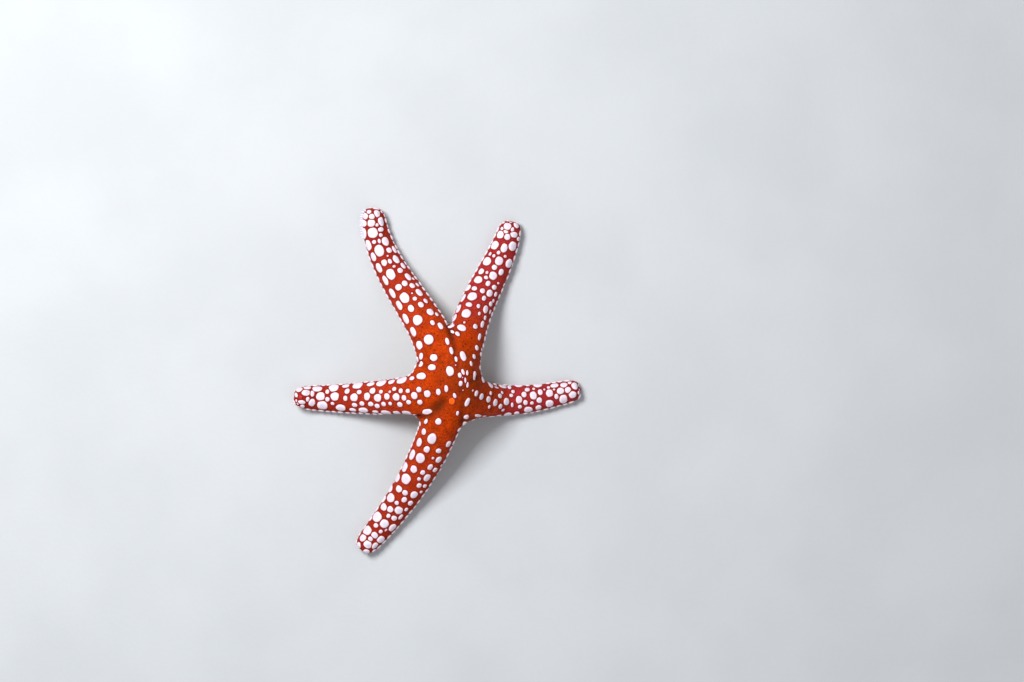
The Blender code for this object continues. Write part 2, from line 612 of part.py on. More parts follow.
def feet_and_spines(body, arm, tools):
    """Tube feet in the furrow and blunt spines along both its edges."""
    for i in range(round((FURROW_END - ROW_START) * arm.length / FOOT_SPACING)):
        s = ROW_START + i * FOOT_SPACING / arm.length
        s = arm.clear_of_cuts(s, FOOT_RADIUS)
        point, along, right, up = arm.frame(s)
        start = point + right * FOOT_OFFSET * (1 if i % 2 else -1)
        root, _ = surface(body, start, -up)
        length = min(FOOT_LENGTH, (root.z - FOOT_CLEARANCE) / up.z)
        middle = root + up * (ROOT_DEPTH - length) / 2
        peg("foot", middle, -up, FOOT_RADIUS, length + ROOT_DEPTH, tools, segments=5)
    for i in range(round((FURROW_END - ROW_START) * arm.length / SPINE_SPACING)):
        s = ROW_START + (i + 0.5) * SPINE_SPACING / arm.length
        s = arm.clear_of_cuts(s, SPINE_RADIUS)
        for side in (1, -1):
            start, direction = arm.outward(s, 180 + side * SPINE_TURN)
            root, _ = surface(body, start, direction)
            length = SPINE_LENGTH
            if (root + direction * length).z < FOOT_CLEARANCE:
                continue
            middle = root + direction * (length - ROOT_DEPTH) / 2
            depth = length + ROOT_DEPTH
            peg("spine", middle, direction, SPINE_RADIUS, depth, tools, segments=4, crown=0.6)


def single_pieces(body, arms, collection, cutters):
    """The terminal plates, eye spots and madreporite, each in a pocket of the body."""
    white = material("white_plate", WHITE, 0.45)
    crimson = material("eye_spot", CRIMSON, 0.35)
    orange = material("madreporite", ORANGE, 0.5)
    pieces = []
    for arm in arms:
        centre, along, right, up = arm.frame(FURROW_END)
        place, facing = seen_place(body, DISC_CENTRE + Vector(arm.tip_plate), centre)
        size = (TIP_PLATE_RADIUS, TIP_PLATE_DEPTH)
        pieces.append(("tip_plate_" + arm.name, place, facing, *size, white))
        facing = along * math.cos(arm.eye_tilt) + up * math.sin(arm.eye_tilt)
        place, _ = surface(body, centre, facing)
        size = (EYE_SPOT_RADIUS, EYE_SPOT_DEPTH)
        pieces.append(("eye_spot_" + arm.name, place, facing, *size, crimson))
    place, facing = seen_place(
        body, DISC_CENTRE + Vector(MADREPORITE_PLACE), inside_disc(*DISC_CENTRE)
    )
    pieces.append(("madreporite", place, facing, MADREPORITE_RADIUS, MADREPORITE_DEPTH, orange))
    for name, place, facing, radius, depth, finish in pieces:
        middle = place + facing * (PROUD - depth / 2)
        peg(name, middle, facing, radius, depth, collection, crown=0.7, finish=finish)
        peg("pocket", place + facing * (PROUD - GAP), facing, radius + GAP, 2 * depth, cutters)


def node_slices(arms, cutters):
    """A thin slice across each arm at its root and at its middle."""
    for arm in arms:
        for cut in arm.cuts:
            centre, along, right, up = arm.frame(cut)
            radius = arm.half_width(cut) * SLICE_REACH
            peg("slice", centre, along, radius, GAP, cutters, segments=16)


def islands(mesh):
    """The vertices of each closed surface of the mesh."""
    parent = list(range(len(mesh.vertices)))

    def top(i):
        while parent[i] != i:
            parent[i] = parent[parent[i]]
            i = parent[i]
        return i

    for a, b in (edge.vertices for edge in mesh.edges):
        parent[top(a)] = top(b)
    groups = {}
    for i in range(len(parent)):
        groups.setdefault(top(i), []).append(i)
    return list(groups.values())


def node_name(mesh, group, arms):
    """Names a piece of the cut body by what its middle lies nearest to."""
    middle = sum((mesh.vertices[i].co for i in group), Vector()) / len(group)
    best = "disc"
    nearest_way = (middle.xy - DISC_CENTRE).length
    for arm in arms:
        root_cut, middle_cut = arm.cuts
        for length, s in (("base", (root_cut + middle_cut) / 2), ("outer", (middle_cut + 1) / 2)):
            way = (arm.centre(s) - middle).length
            if way < nearest_way:
                best, nearest_way = f"arm_{arm.name}_{length}", way
    return best


def separate_nodes(body, arms, collection):
    """Makes each closed piece of the cut body a node, and drops loose scraps."""
    scarlet = material("scarlet_skin", SCARLET, 0.5)
    mesh = body.data
    largest = {}
    for group in islands(mesh):
        name = node_name(mesh, group, arms)
        if len(group) > len(largest.get(name, [])):
            largest[name] = group
    for name, group in largest.items():
        keep = set(group)
        bm = bmesh.new()
        bm.from_mesh(mesh)
        dropped = [corner for corner in bm.verts if corner.index not in keep]
        bmesh.ops.delete(bm, geom=dropped, context="VERTS")
        add_from_bmesh(name, bm, collection, scarlet)
    bpy.data.objects.remove(body)


def main():
    clear_scene()
    star = new_collection("sea_star")
    raised = new_collection("raised")
    cutters = new_collection("cutters")
    arms = [Arm(**values) for values in ARMS]
    body = star_body(arms, star)
    mouth, down = furrows_and_mouth(body, arms, star, cutters)
    single_pieces(body, arms, star, cutters)
    node_slices(arms, cutters)
    for arm in arms:
        arm_plates(body, arm, raised)
        feet_and_spines(body, arm, raised)
    disc_plates(body, raised)
    jaws(body, mouth, down, raised)
    boolean(body, "UNION", raised)
    boolean(body, "DIFFERENCE", cutters)
    separate_nodes(body, arms, star)


main()
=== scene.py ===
"""The looks of a slender-armed sea star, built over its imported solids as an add-on would."""

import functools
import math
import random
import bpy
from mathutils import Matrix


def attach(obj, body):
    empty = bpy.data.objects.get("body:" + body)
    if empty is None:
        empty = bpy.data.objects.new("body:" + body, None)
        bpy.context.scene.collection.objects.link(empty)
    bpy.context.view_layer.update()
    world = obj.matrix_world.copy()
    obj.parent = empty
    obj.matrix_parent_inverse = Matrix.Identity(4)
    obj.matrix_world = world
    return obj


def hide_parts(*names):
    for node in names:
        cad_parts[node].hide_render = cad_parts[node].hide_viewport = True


bl_info = {
    "name": "Sea Star",
    "version": (1, 0, 0),
    "blender": (4, 5, 0),
    "location": "View3D > Sidebar > Sea Star",
    "description": "Builds a sea star's skin, plates, spines and tube feet over its solids",
    "category": "Add Mesh",
}

import bmesh
import bpy
from bpy.props import FloatProperty, FloatVectorProperty, PointerProperty
from mathutils import Vector, noise
from mathutils.bvhtree import BVHTree
from mathutils.kdtree import KDTree

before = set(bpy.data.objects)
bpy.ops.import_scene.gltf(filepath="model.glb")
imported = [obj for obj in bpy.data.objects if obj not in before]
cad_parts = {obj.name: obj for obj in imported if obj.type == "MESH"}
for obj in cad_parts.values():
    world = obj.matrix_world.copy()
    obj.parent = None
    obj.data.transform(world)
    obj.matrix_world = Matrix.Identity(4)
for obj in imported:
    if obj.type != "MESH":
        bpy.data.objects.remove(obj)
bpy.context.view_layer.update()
MILLIMETRE = 0.001
SEED = 7

# The disc and the hump that the star lies over, as in the solids
DISC_CENTRE = Vector((0.0057, 0.0010))
DISC_THICKNESS = 0.0058
HUMP_HEIGHT = 0.0095
RIDGE_OFFSET = 0.0015
RIDGE_HEADING = math.radians(98.5)
LEFT_RUN = 0.029
RIGHT_RUN = 0.0105
END_RUN = 0.032

# Each arm, counterclockwise: where its midline starts from the disc's centre, its length seen
# from above, its headings in degrees and its half widths at the root, the middle and the tip, how
# far its tip curls up, where its terminal plate lies from the disc's centre, that plate's length
# and width as seen from above, and how far up its eye spot faces, in degrees
ARMS = (
    dict(name="right", start=(0.0032, -0.0049), length=0.0219, headings=(-12, 7, 12),
         half_widths=(0.0035, 0.00285, 0.0021), curl=0.0008,
         tip_plate=(0.0240, -0.0023), tip_size=(0.0015, 0.0016), crimson=0.8, eye_tilt=-32),
    dict(name="upper_right", start=(0.0004, 0.0059), length=0.0291, headings=(85, 64, 79),
         half_widths=(0.0041, 0.0034, 0.0022), curl=0.0008,
         tip_plate=(0.0094, 0.0322), tip_size=(0.0016, 0.0017), crimson=0.65, eye_tilt=-32),
    dict(name="upper_left", start=(-0.0058, 0.0064), length=0.0331, headings=(113, 122.5, 88),
         half_widths=(0.0042, 0.0034, 0.0023), curl=0.0012,
         tip_plate=(-0.0188, 0.0350), tip_size=(0.0017, 0.0012), crimson=0.2, eye_tilt=-32),
    dict(name="left", start=(-0.0078, -0.0038), length=0.0285, headings=(187, 182, 176),
         half_widths=(0.0040, 0.0032, 0.0022), curl=0.0024,
         tip_plate=(-0.0342, -0.0038), tip_size=(0.0018, 0.0013), crimson=0.2, eye_tilt=38),
    dict(name="lower", start=(-0.0038, -0.0071), length=0.0361, headings=(254, 238, 228),
         half_widths=(0.0041, 0.0034, 0.0022), curl=0.0008,
         tip_plate=(-0.0208, -0.0366), tip_size=(0.0016, 0.0019), crimson=0.1, eye_tilt=-32),
)
# The valley between each arm and the next, from the disc's centre
VALLEYS = (
    (0.0020, -0.0006),
    (-0.0030, 0.0107),
    (-0.0092, 0.0027),
    (-0.0098, -0.0092),
    (0.0000, -0.0097),
)
VALLEY_THICKNESS = 0.0050
VALLEY_INSET = 0.0008

# The arms' sections
STATIONS = (0.10, 0.24, 0.40, 0.56, 0.72, 0.85, 0.94, 1.0)
TIP_SIZE = 0.80
TIP_REACH = 1.005
HEIGHT_RATIO = 0.80
BELLY_RATIO = 0.68
BELLY_WIDTH = 1.12
BELLY_EDGE = 0.92
CAGE_SWELL = 1.11
FLOOR_SINK = 0.0004
MIDLINE_STEPS = 60
CURL_START = 0.82
SKIN_LEVELS = 4

# The furrow under each arm, and the mouth
FURROW_END = 0.93
FURROW_STEPS = 14
FURROW_FLOOR = 0.00035         # the furrow's depth is full this far from its line,
FURROW_EDGE = 0.00095          # and none this far from it
MOUTH_FLOOR = 0.0010
MOUTH_EDGE = 0.0018
MOUTH_DEPTH = 0.0013
PATH_STEP = 0.0002

# Creases and hollows in the skin, in millimetres: points seen from above from the disc's
# centre, how deep it is at its first and last point, and how far it reaches to each side
CREASES = (
    (((-3.2, 10.9), (-2.3, 8.2), (-1.7, 5.6), (-1.2, 3.2), (-0.9, 1.6)), (0.55, 0.15), 0.9),
    (((-9.9, -8.8), (-8.2, -8.9), (-7.0, -8.6), (-5.9, -8.0)), (0.55, 0.20), 0.9),
    (((2.9, -0.4), (1.9, -1.2), (1.0, -1.9)), (0.35, 0.10), 0.9),
    (((0.0, -9.8), (-0.1, -7.4), (0.1, -5.2)), (0.35, 0.10), 0.9),
    (((-9.7, 2.9), (-8.2, 2.3), (-6.8, 1.7)), (0.25, 0.05), 0.9),
    (((-7.3, -8.3), (-6.0, -7.1), (-4.5, -5.8)), (0.36, 0.40), 1.8),
    (((-1.8, 7.6), (-1.5, 6.5)), (0.25, 0.20), 1.2),
    (((-0.5, -3.2), (-0.1, -2.1)), (0.22, 0.15), 1.4),
)
CREASED_REACH = 0.016          # nothing is creased farther than this from the disc's centre
# Painted shade in the creases: how deep a crease is when its painted shade is full
CREASE_FULL_SHADE = 0.0006           # a crease this deep is all but brown
# Painted shade on the back, partly the skin's own browner tone: the middle and the radius in
# millimetres, and how brown it is
SHADES = (
    ((0.6, -1.6), 9.5, 0.90),
    ((-5.2, -6.9), 2.6, 0.75),
    ((-2.4, 9.6), 3.0, 0.75),
    ((0.4, -9.6), 3.6, 0.85),
    ((4.2, 4.5), 5.0, 0.60),
)
SKIN_FLOOR = 0.00003           # how far the skin clears the floor, so that the plates reach it

# Plates: what the solids make plainly is here round-edged, irregular and complete
VIEWER = Vector((0.0161, 0.0084, 0.526))
SEEN_HEIGHT = 0.003
SEEN_STEP = 0.0001
STEEPEST_PART = 0.5
SWELL_REACH = 0.0006           # how far beyond a plate its swelling fades out
# The least skin between two plates, at the disc and at the tips
PLATE_GAPS = (0.00020, 0.00011)
RIM_SHARE = 0.88               # the part of a plate's radius that is bare of skin
SMALLEST_HALF = 0.00010
BLUSH_HALF = 0.00035           # plates with a half length under this are tinted
WOBBLE = 0.04
SQUARENESS = (2.0, 2.35)       # 2 is an ellipse, and more is squarer
TINTS = (0.0, 0.12)            # how far a plate is tinted,
SMALL_TINTS = (0.10, 0.45)     # and a small one
TOP_LEAN = 0.25                # how far a plate's top may lean, as a part of its rise
STRETCHES = (1.0, 1.2)         # how much longer than wide a filling plate is
CROWDED = (0.50, 0.90)         # how far out the plates begin to crowd, and fully do
CROWD_GROWTH = 0.11
EDGE_SLOPE = 0.18              # how level the sides are where their row of plates lies
EDGE_RISE = 0.00010            # how much farther the edges' plates stand up
EDGE_SPACING = 0.00145
EDGE_PLATE = (0.00062, 0.00050)
EDGE_SEARCH = (30.0, 130.0)
EDGE_HALVINGS = 10
EDGE_SHIFT = 0.1               # how unevenly an edge's plates are spaced,
EDGE_SWAY = 2                  # and how far they stray from their line, in degrees
EDGE_SIZES = (0.9, 1.1)
EDGE_STRETCH = 1.5
LEAST_EDGE = 0.00022
ROW_START = 0.02
ROW_END = 0.94
FLANK_TRIES = 420
TIP_TRIES = 160
TIP_HALF = (0.00022, 0.00060)
FLANK_TURNS = (62, 124)        # where the flanks' plates lie, in degrees from the crest
FLANK_HALF = (0.00028, 0.00058)
HIDDEN_SLOPE = 0.30            # flanks less level than this show no measured plates
BELLY_TRIES = 500
BELLY_TURNS = (126, 156)
BELLY_HALF = (0.00028, 0.00042)
BELLY_FACING = -0.5            # what faces down more than this counts as the underside
PALE_SLOPE = 0.75              # the underside's colour is full where a part faces down so far,
PALE_RUN = 0.7                 # and fades out over this
CRIMSON_FULL = 0.35            # how far out an arm is as crimson as it gets
ROOM = 0.00022                 # the least skin round a plate of the flanks or the belly
SPREAD_ROUNDS = 3
SPREAD_REACH = 0.0035
DISC_TRIES = 1500
DISC_REACH = 0.0125
DISC_SPREAD = 0.006            # how far from the disc's middle its filling is cast out,
DISC_TILTS = (-0.5 * math.pi, 0.1)  # and how far up
NEAR_PLATES = 5                # how many plates are asked for the swelling of the skin
CREASE_SHADE_MOST = 0.85
LONGEST_EDGE = 0.00037
WAVER_SCALE = 900
WAVER_SIZE = 0.00005
PLATE_PROFILE = ((0.0, 0.00020), (0.5, 0.00020), (0.86, 0.00017), (1.0, -0.00008))
FULL_RISE_HALF = 0.0005        # narrower plates than this are lower in proportion
# The terminal plates' and the sieve plate's
END_PROFILE = ((0.0, 0.00012), (0.85, 0.00012), (0.95, 0.00004), (1.0, -0.00016))
# The plates' corners round the edge, and the rings of corners inside it
PLATE_GRID = (16, (0.86, 0.5))
END_GRID = (32, (0.95, 0.85, 0.68, 0.45, 0.2))
SIEVE_GRID = (64, tuple(1 - i / 20 for i in range(1, 20)))

# The madreporite and the eye spots
MADREPORITE_PLACE = (-0.0026, -0.0056)
MADREPORITE_SIZE = (0.00130, 0.00135)
SIEVE_RISE = 0.00012
SIEVE_RAYS = 11
SIEVE_DEPTH = 0.00007
SIEVE_WAVER_SCALE = 2600
SIEVE_WAVER_SIZE = 1.2
EYE_RADIUS = 0.00050
EYE_SIDES = 20
EYE_PROFILE = (
    (0.0, -0.5), (1.0, -0.5), (1.0, 0.05), (0.92, 0.3), (0.7, 0.5), (0.38, 0.62), (0.0, 0.66),
)

# The mouth's membrane and jaws
MEMBRANE_PROFILE = (
    (0.0, -0.45), (1.35, -0.45), (1.45, 0.05), (1.0, 0.18), (0.5, 0.22), (0.2, 0.15), (0.0, -0.05),
)
MEMBRANE_FOLD = 0.00006
MEMBRANE_FOLDS = 15
MEMBRANE_REACH = 0.0013
JAW_REACH = 0.0021
JAW_APART = 0.00045
JAW_SIZE = (0.00075, 0.00040)
JAW_SPLAY = 0.3
JAW_RISE = 0.0003

# Spines and tube feet: their outlines by radius and height, and their places
SPINE_PROFILE = (
    (0.0, -0.3), (1.0, -0.3), (1.1, 0.1), (1.0, 0.55), (0.8, 0.85), (0.45, 0.97), (0.0, 1.0),
)
# Each row of spines: how far it lies from the furrow, its spines' size and how far they splay
SPINE_BANDS = ((0.00125, 1.0, 0.25), (0.00170, 0.7, 0.60))
SPINE_SIDES = 7
SPINE_SPREAD = 0.12            # how unevenly the spines point,
SPINE_LEAN = 0.1               # and how far they bend
SPINE_LENGTHS = (0.85, 1.1)    # the least and the most, as parts of the usual one
SPINE_WIDTHS = (0.85, 1.15)
SPINE_SPACING = 0.00085
SPINE_PLACES = (0.3, 0.7)      # where a spine stands in its part of the row
SPINE_RADIUS = 0.00021
SHORTEST_SPINE = 0.00035
SPINE_BAND = 0.0021
# The fringe of pointed spines from the outer side of one arm's tip round toward its end
FRINGE_ARM = "upper_left"
FRINGE_PROFILE = ((0.0, -0.3), (1.0, -0.3), (1.0, 0.15), (0.72, 0.55), (0.34, 0.88), (0.0, 1.0))
FRINGE_COUNT = 13
FRINGE_PLACES = (0.42, 0.58)
FRINGE_START = 0.83
FRINGE_BEND = 0.55             # how far through the fringe it leaves the side for the end
FRINGE_TURN = 62               # and how many degrees round the end it then goes
FRINGE_RADIUS = 0.00023
FRINGE_LENGTH = 0.00078
FRINGE_TILT = (0.10, 0.18)
FRINGE_LEAN = 0.06
MOUTH_BAND = 0.0030
FOOT_PROFILE = (
    (0.0, -0.2), (1.0, -0.2), (1.0, 0.0), (0.85, 0.35), (0.8, 0.75), (1.1, 0.88), (1.3, 0.95),
    (1.15, 1.0), (0.5, 0.98), (0.0, 0.93),
)
FOOT_SPACING = 0.0012
FOOT_OFFSET = 0.00036
FOOT_RADIUS = 0.00024
FOOT_CLEARANCE = 0.00015
FOOT_LENGTHS = (0.8, 1.1)
FOOT_LEAN = 0.12
FOOT_SIDES = 8
FOOT_SINK = 0.8                # how deep in the furrow a foot starts, as a part of its depth

# Lights, by their place from the star
KEY_PLACE = (-0.16, 0.14, 0.33)
FILL_PLACE = (0.30, -0.22, 0.35)
WORLD_STRENGTH = 0.42
WORLD_COLOUR = (0.92, 0.95, 1.0, 1.0)
KEY_SIZE = 0.14
FILL_SIZE = 0.40
FLOOR_HALF = 3.0
LENS = 85.0
SENSOR_WIDTH = 36.0

# The plates as seen from above: x and y from the disc's centre, length along the arm and
# width, in millimetres
PLATES = {
    "right": (
        (22.9, -1.7, 0.9, 0.6), (23.1, -2.4, 0.6, 0.8), (24.1, -3.3, 0.7, 0.5),
        (23.5, -4.2, 1.6, 1.6), (22.5, -3.2, 1.3, 1.4), (21.6, -2.2, 1.5, 0.9),
        (20.9, -3.4, 1.5, 1.3), (21.5, -5.2, 1.6, 1.8), (20.5, -6.6, 1.1, 0.5),
        (20.0, -4.6, 0.8, 1.1), (19.6, -2.3, 1.6, 0.9), (19.5, -3.1, 0.5, 0.5),
        (18.5, -3.9, 1.5, 1.5), (18.5, -6.1, 1.6, 1.5), (18.3, -2.7, 0.7, 0.5),
        (17.4, -3.1, 0.4, 0.4), (16.3, -5.4, 1.2, 1.2), (16.5, -3.7, 1.0, 1.2),
        (16.0, -2.2, 1.9, 1.0), (16.1, -6.9, 1.3, 0.9), (15.1, -3.0, 0.6, 0.5),
        (15.0, -4.4, 1.5, 1.7), (14.7, -6.0, 0.8, 0.7), (13.9, -7.4, 1.9, 1.2),
        (13.8, -2.3, 1.0, 0.5), (13.7, -3.2, 1.1, 0.8), (13.0, -4.2, 1.1, 1.2),
        (13.3, -5.9, 1.0, 1.1), (11.9, -5.3, 1.4, 1.6), (12.1, -6.8, 0.9, 0.8),
        (11.8, -2.3, 1.9, 1.1), (11.4, -8.1, 1.2, 0.6), (10.4, -6.4, 0.6, 1.0),
        (10.6, -3.6, 0.8, 0.9), (10.2, -4.4, 0.9, 0.9), (9.8, -2.7, 1.2, 0.7),
        (9.4, -8.4, 1.8, 0.8), (9.1, -5.7, 1.2, 1.6), (8.3, -2.5, 1.9, 1.0),
        (8.4, -7.5, 0.7, 0.6), (7.8, -6.7, 0.8, 1.1), (7.7, -4.5, 0.8, 1.0),
        (8.2, -3.8, 0.5, 0.7), (7.5, -8.6, 1.1, 0.6), (7.0, -2.7, 0.9, 0.5),
        (6.7, -5.9, 0.9, 1.6), (5.9, -8.8, 1.6, 0.8), (5.4, -6.8, 0.5, 0.8),
        (5.7, -3.9, 0.5, 0.9), (5.2, -5.2, 0.9, 1.4), (4.4, -8.8, 0.8, 0.4),
        (3.7, -4.6, 0.8, 1.4), (3.0, -8.7, 1.4, 0.7), (2.6, -3.9, 0.7, 1.3),
    ),
    "upper_right": (
        (10.5, 31.5, 1.2, 0.9), (11.3, 32.4, 1.2, 0.9), (9.1, 31.0, 0.8, 0.9),
        (10.8, 30.4, 1.4, 1.5), (7.9, 30.4, 1.6, 1.3), (9.4, 29.9, 1.2, 1.2),
        (8.3, 31.7, 0.9, 0.7), (11.7, 29.5, 0.9, 0.5), (6.7, 28.1, 1.8, 1.4),
        (8.7, 27.5, 1.8, 1.3), (10.5, 27.9, 1.9, 1.5), (7.5, 26.5, 0.8, 0.7),
        (6.5, 25.8, 0.7, 0.6), (5.7, 26.2, 0.8, 0.5), (8.9, 25.7, 0.6, 0.6),
        (5.0, 24.6, 1.9, 1.6), (7.6, 24.7, 1.8, 1.7), (9.7, 24.2, 1.9, 1.2),
        (6.6, 23.3, 1.1, 1.1), (3.8, 22.4, 1.4, 1.0), (5.0, 22.2, 0.7, 0.6),
        (8.0, 22.3, 1.4, 1.0), (6.3, 21.5, 1.7, 1.7), (4.8, 21.1, 0.8, 0.9),
        (3.1, 20.6, 1.7, 1.7), (5.2, 19.8, 1.2, 1.0), (7.4, 19.9, 0.5, 0.5),
        (6.5, 19.0, 1.1, 1.0), (0.9, 18.8, 1.7, 1.0), (2.3, 18.7, 1.0, 1.1),
        (4.0, 18.2, 1.1, 1.1), (5.5, 17.7, 1.6, 1.3), (6.8, 17.5, 1.1, 0.6),
        (1.8, 17.0, 1.9, 2.0), (4.3, 16.6, 1.1, 0.9), (-0.1, 16.6, 1.9, 0.8),
        (6.3, 16.1, 0.9, 0.5), (1.1, 15.2, 1.0, 1.4), (5.7, 15.4, 1.2, 0.8),
        (3.1, 14.9, 0.9, 0.8), (-1.1, 14.3, 1.9, 0.9), (4.6, 14.2, 1.7, 1.1),
        (5.6, 13.7, 1.0, 0.4), (0.5, 13.3, 1.9, 1.9), (3.3, 13.3, 0.8, 0.6),
        (-2.0, 12.3, 1.8, 1.0), (4.5, 12.4, 1.0, 0.6), (0.1, 11.4, 0.5, 0.5),
        (3.9, 11.0, 1.5, 0.8), (2.4, 10.5, 1.0, 1.0), (3.3, 8.3, 1.5, 0.7),
    ),
    "upper_left": (
        (-19.9, 34.3, 1.1, 1.2), (-20.5, 35.3, 0.8, 0.9), (-21.3, 34.4, 1.3, 1.1),
        (-20.0, 32.9, 1.5, 1.8), (-21.7, 32.9, 1.5, 1.2), (-18.8, 32.5, 0.7, 0.7),
        (-18.0, 33.2, 1.9, 1.0), (-18.0, 31.5, 0.9, 1.1), (-19.7, 30.8, 2.1, 2.1),
        (-21.6, 30.7, 2.3, 1.1), (-18.0, 30.3, 0.8, 0.7), (-19.4, 28.8, 0.8, 0.8),
        (-18.3, 29.0, 0.9, 0.6), (-17.0, 28.9, 1.9, 1.3), (-20.6, 28.1, 2.2, 1.1),
        (-18.3, 26.9, 2.4, 2.0), (-16.2, 27.0, 1.2, 1.0), (-15.1, 27.1, 1.7, 0.6),
        (-16.5, 25.8, 0.4, 0.4), (-19.5, 25.6, 1.9, 1.0), (-16.0, 24.6, 1.1, 0.8),
        (-17.2, 24.3, 1.4, 1.2), (-14.7, 25.0, 2.0, 1.1), (-15.1, 23.5, 0.6, 0.7),
        (-13.2, 23.6, 1.5, 0.7), (-18.3, 23.2, 2.2, 1.1), (-13.8, 22.6, 1.2, 1.1),
        (-15.8, 21.8, 2.4, 1.9), (-12.1, 21.2, 1.9, 1.1), (-11.0, 20.8, 0.8, 0.5),
        (-16.9, 20.5, 2.3, 1.0), (-12.8, 19.8, 1.3, 1.2), (-11.2, 19.3, 1.2, 1.0),
        (-10.1, 19.5, 1.0, 0.5), (-14.1, 19.0, 1.4, 1.4), (-15.4, 17.7, 2.3, 1.1),
        (-9.7, 17.8, 1.8, 1.1), (-11.2, 17.7, 0.4, 0.4), (-12.8, 16.7, 2.3, 2.0),
        (-10.6, 16.5, 0.9, 0.9), (-8.3, 16.0, 1.2, 0.7), (-9.3, 15.2, 1.3, 1.1),
        (-13.9, 15.1, 2.2, 1.1), (-11.4, 14.4, 1.6, 1.3), (-7.3, 13.6, 1.6, 1.3),
        (-5.9, 13.1, 0.9, 0.6), (-12.5, 12.2, 2.3, 1.2), (-10.0, 11.9, 2.2, 2.1),
        (-6.8, 11.3, 1.1, 0.9), (-5.1, 10.6, 1.6, 0.9), (-10.9, 9.4, 2.1, 1.2),
        (-7.6, 7.7, 2.1, 2.1), (-9.6, 6.5, 1.8, 1.4),
    ),
    "left": (
        (-9.2, -0.2, 2.1, 1.4), (-11.2, -0.7, 1.1, 0.8), (-13.3, -1.1, 2.4, 1.5),
        (-15.6, -1.5, 1.4, 1.0), (-17.8, -1.7, 2.2, 1.5), (-20.1, -2.0, 1.7, 0.9),
        (-22.9, -2.2, 2.2, 1.5), (-25.5, -2.4, 1.6, 0.7), (-28.1, -2.7, 2.2, 1.6),
        (-31.7, -3.0, 2.0, 1.0), (-30.3, -2.3, 0.9, 0.4), (-9.7, -3.1, 1.1, 1.2),
        (-12.1, -3.4, 0.9, 0.9), (-13.6, -3.4, 0.9, 1.0), (-15.0, -3.0, 0.9, 0.9),
        (-16.0, -3.6, 0.6, 0.6), (-17.9, -3.6, 0.9, 0.9), (-19.7, -3.4, 1.3, 1.3),
        (-22.6, -3.7, 1.2, 1.0), (-25.2, -3.5, 1.1, 1.1), (-29.5, -3.6, 0.9, 0.9),
        (-7.9, -4.0, 1.4, 1.5), (-10.7, -4.4, 1.3, 1.6), (-12.9, -4.9, 1.0, 1.2),
        (-14.6, -4.7, 1.5, 1.6), (-16.6, -4.6, 1.2, 1.4), (-18.6, -4.9, 1.6, 1.8),
        (-20.9, -4.6, 1.3, 1.7), (-23.7, -4.8, 1.8, 1.8), (-25.6, -5.0, 0.9, 1.1),
        (-27.9, -4.6, 1.8, 1.8), (-29.5, -5.2, 0.9, 0.9), (-31.0, -4.6, 1.8, 1.7),
        (-32.8, -4.0, 1.2, 1.2), (-33.8, -5.2, 1.1, 1.1), (-35.1, -5.8, 1.6, 1.1),
        (-32.9, -5.9, 1.7, 1.7), (-35.6, -3.1, 1.3, 1.1), (-33.9, -2.8, 1.5, 0.8),
        (-36.2, -4.3, 0.7, 0.9), (-9.5, -5.8, 1.1, 1.1), (-11.9, -5.8, 1.0, 1.0),
        (-13.8, -6.3, 1.2, 1.1), (-15.9, -6.1, 0.8, 0.8), (-17.3, -6.2, 1.0, 1.0),
        (-18.7, -6.6, 1.1, 1.0), (-20.1, -6.2, 1.2, 1.0), (-22.0, -6.1, 1.1, 1.0),
        (-23.6, -6.4, 1.2, 0.9), (-28.4, -6.1, 0.8, 0.6), (-8.0, -7.9, 2.0, 1.2),
        (-12.2, -8.1, 2.1, 1.2), (-14.5, -8.0, 1.5, 0.9), (-16.8, -8.0, 2.1, 1.2),
        (-19.1, -7.8, 1.3, 0.7), (-21.7, -7.5, 2.1, 1.2), (-24.0, -7.4, 1.5, 0.7),
        (-26.6, -7.0, 2.1, 1.4), (-30.6, -6.5, 2.1, 1.8),
    ),
    "lower": (
        (-5.5, -10.0, 1.4, 1.3), (-8.2, -10.0, 1.1, 0.8), (-8.6, -12.2, 1.4, 1.0),
        (-6.9, -13.7, 2.4, 1.9), (-9.6, -14.5, 1.9, 1.2), (-8.0, -16.0, 1.4, 1.3),
        (-5.5, -16.3, 1.1, 1.1), (-3.4, -14.8, 1.5, 0.9), (-6.7, -17.9, 0.6, 0.6),
        (-11.1, -17.2, 2.4, 1.1), (-9.4, -17.9, 2.2, 2.0), (-5.5, -18.2, 1.5, 1.1),
        (-7.3, -19.8, 1.4, 1.0), (-10.8, -20.3, 1.6, 1.5), (-12.7, -19.9, 2.1, 1.1),
        (-8.9, -21.0, 1.1, 1.0), (-6.3, -20.4, 1.1, 0.8), (-12.5, -22.4, 2.2, 2.1),
        (-9.7, -22.4, 0.8, 0.8), (-8.0, -22.1, 1.8, 1.2), (-14.3, -22.2, 1.9, 1.0),
        (-9.7, -23.8, 1.1, 1.0), (-8.5, -23.9, 0.9, 0.7), (-14.0, -24.6, 1.4, 1.4),
        (-15.8, -24.6, 2.0, 1.1), (-12.7, -25.4, 1.2, 1.2), (-10.8, -25.8, 1.7, 1.4),
        (-9.3, -25.2, 0.7, 0.5), (-15.8, -26.5, 2.1, 2.0), (-12.9, -26.9, 1.3, 1.1),
        (-14.5, -27.6, 0.9, 0.9), (-17.4, -26.7, 1.8, 0.9), (-11.6, -27.6, 1.2, 0.9),
        (-17.3, -28.5, 1.4, 1.4), (-15.9, -29.0, 1.3, 1.3), (-14.1, -29.2, 1.7, 1.6),
        (-12.5, -29.0, 0.9, 0.6), (-19.0, -28.8, 1.6, 0.7), (-16.3, -30.4, 0.9, 0.8),
        (-18.8, -30.6, 2.1, 2.0), (-15.1, -30.9, 1.1, 1.1), (-13.7, -30.6, 1.3, 0.6),
        (-20.4, -30.8, 1.2, 0.5), (-17.2, -32.1, 1.8, 1.7), (-19.0, -32.5, 0.9, 0.9),
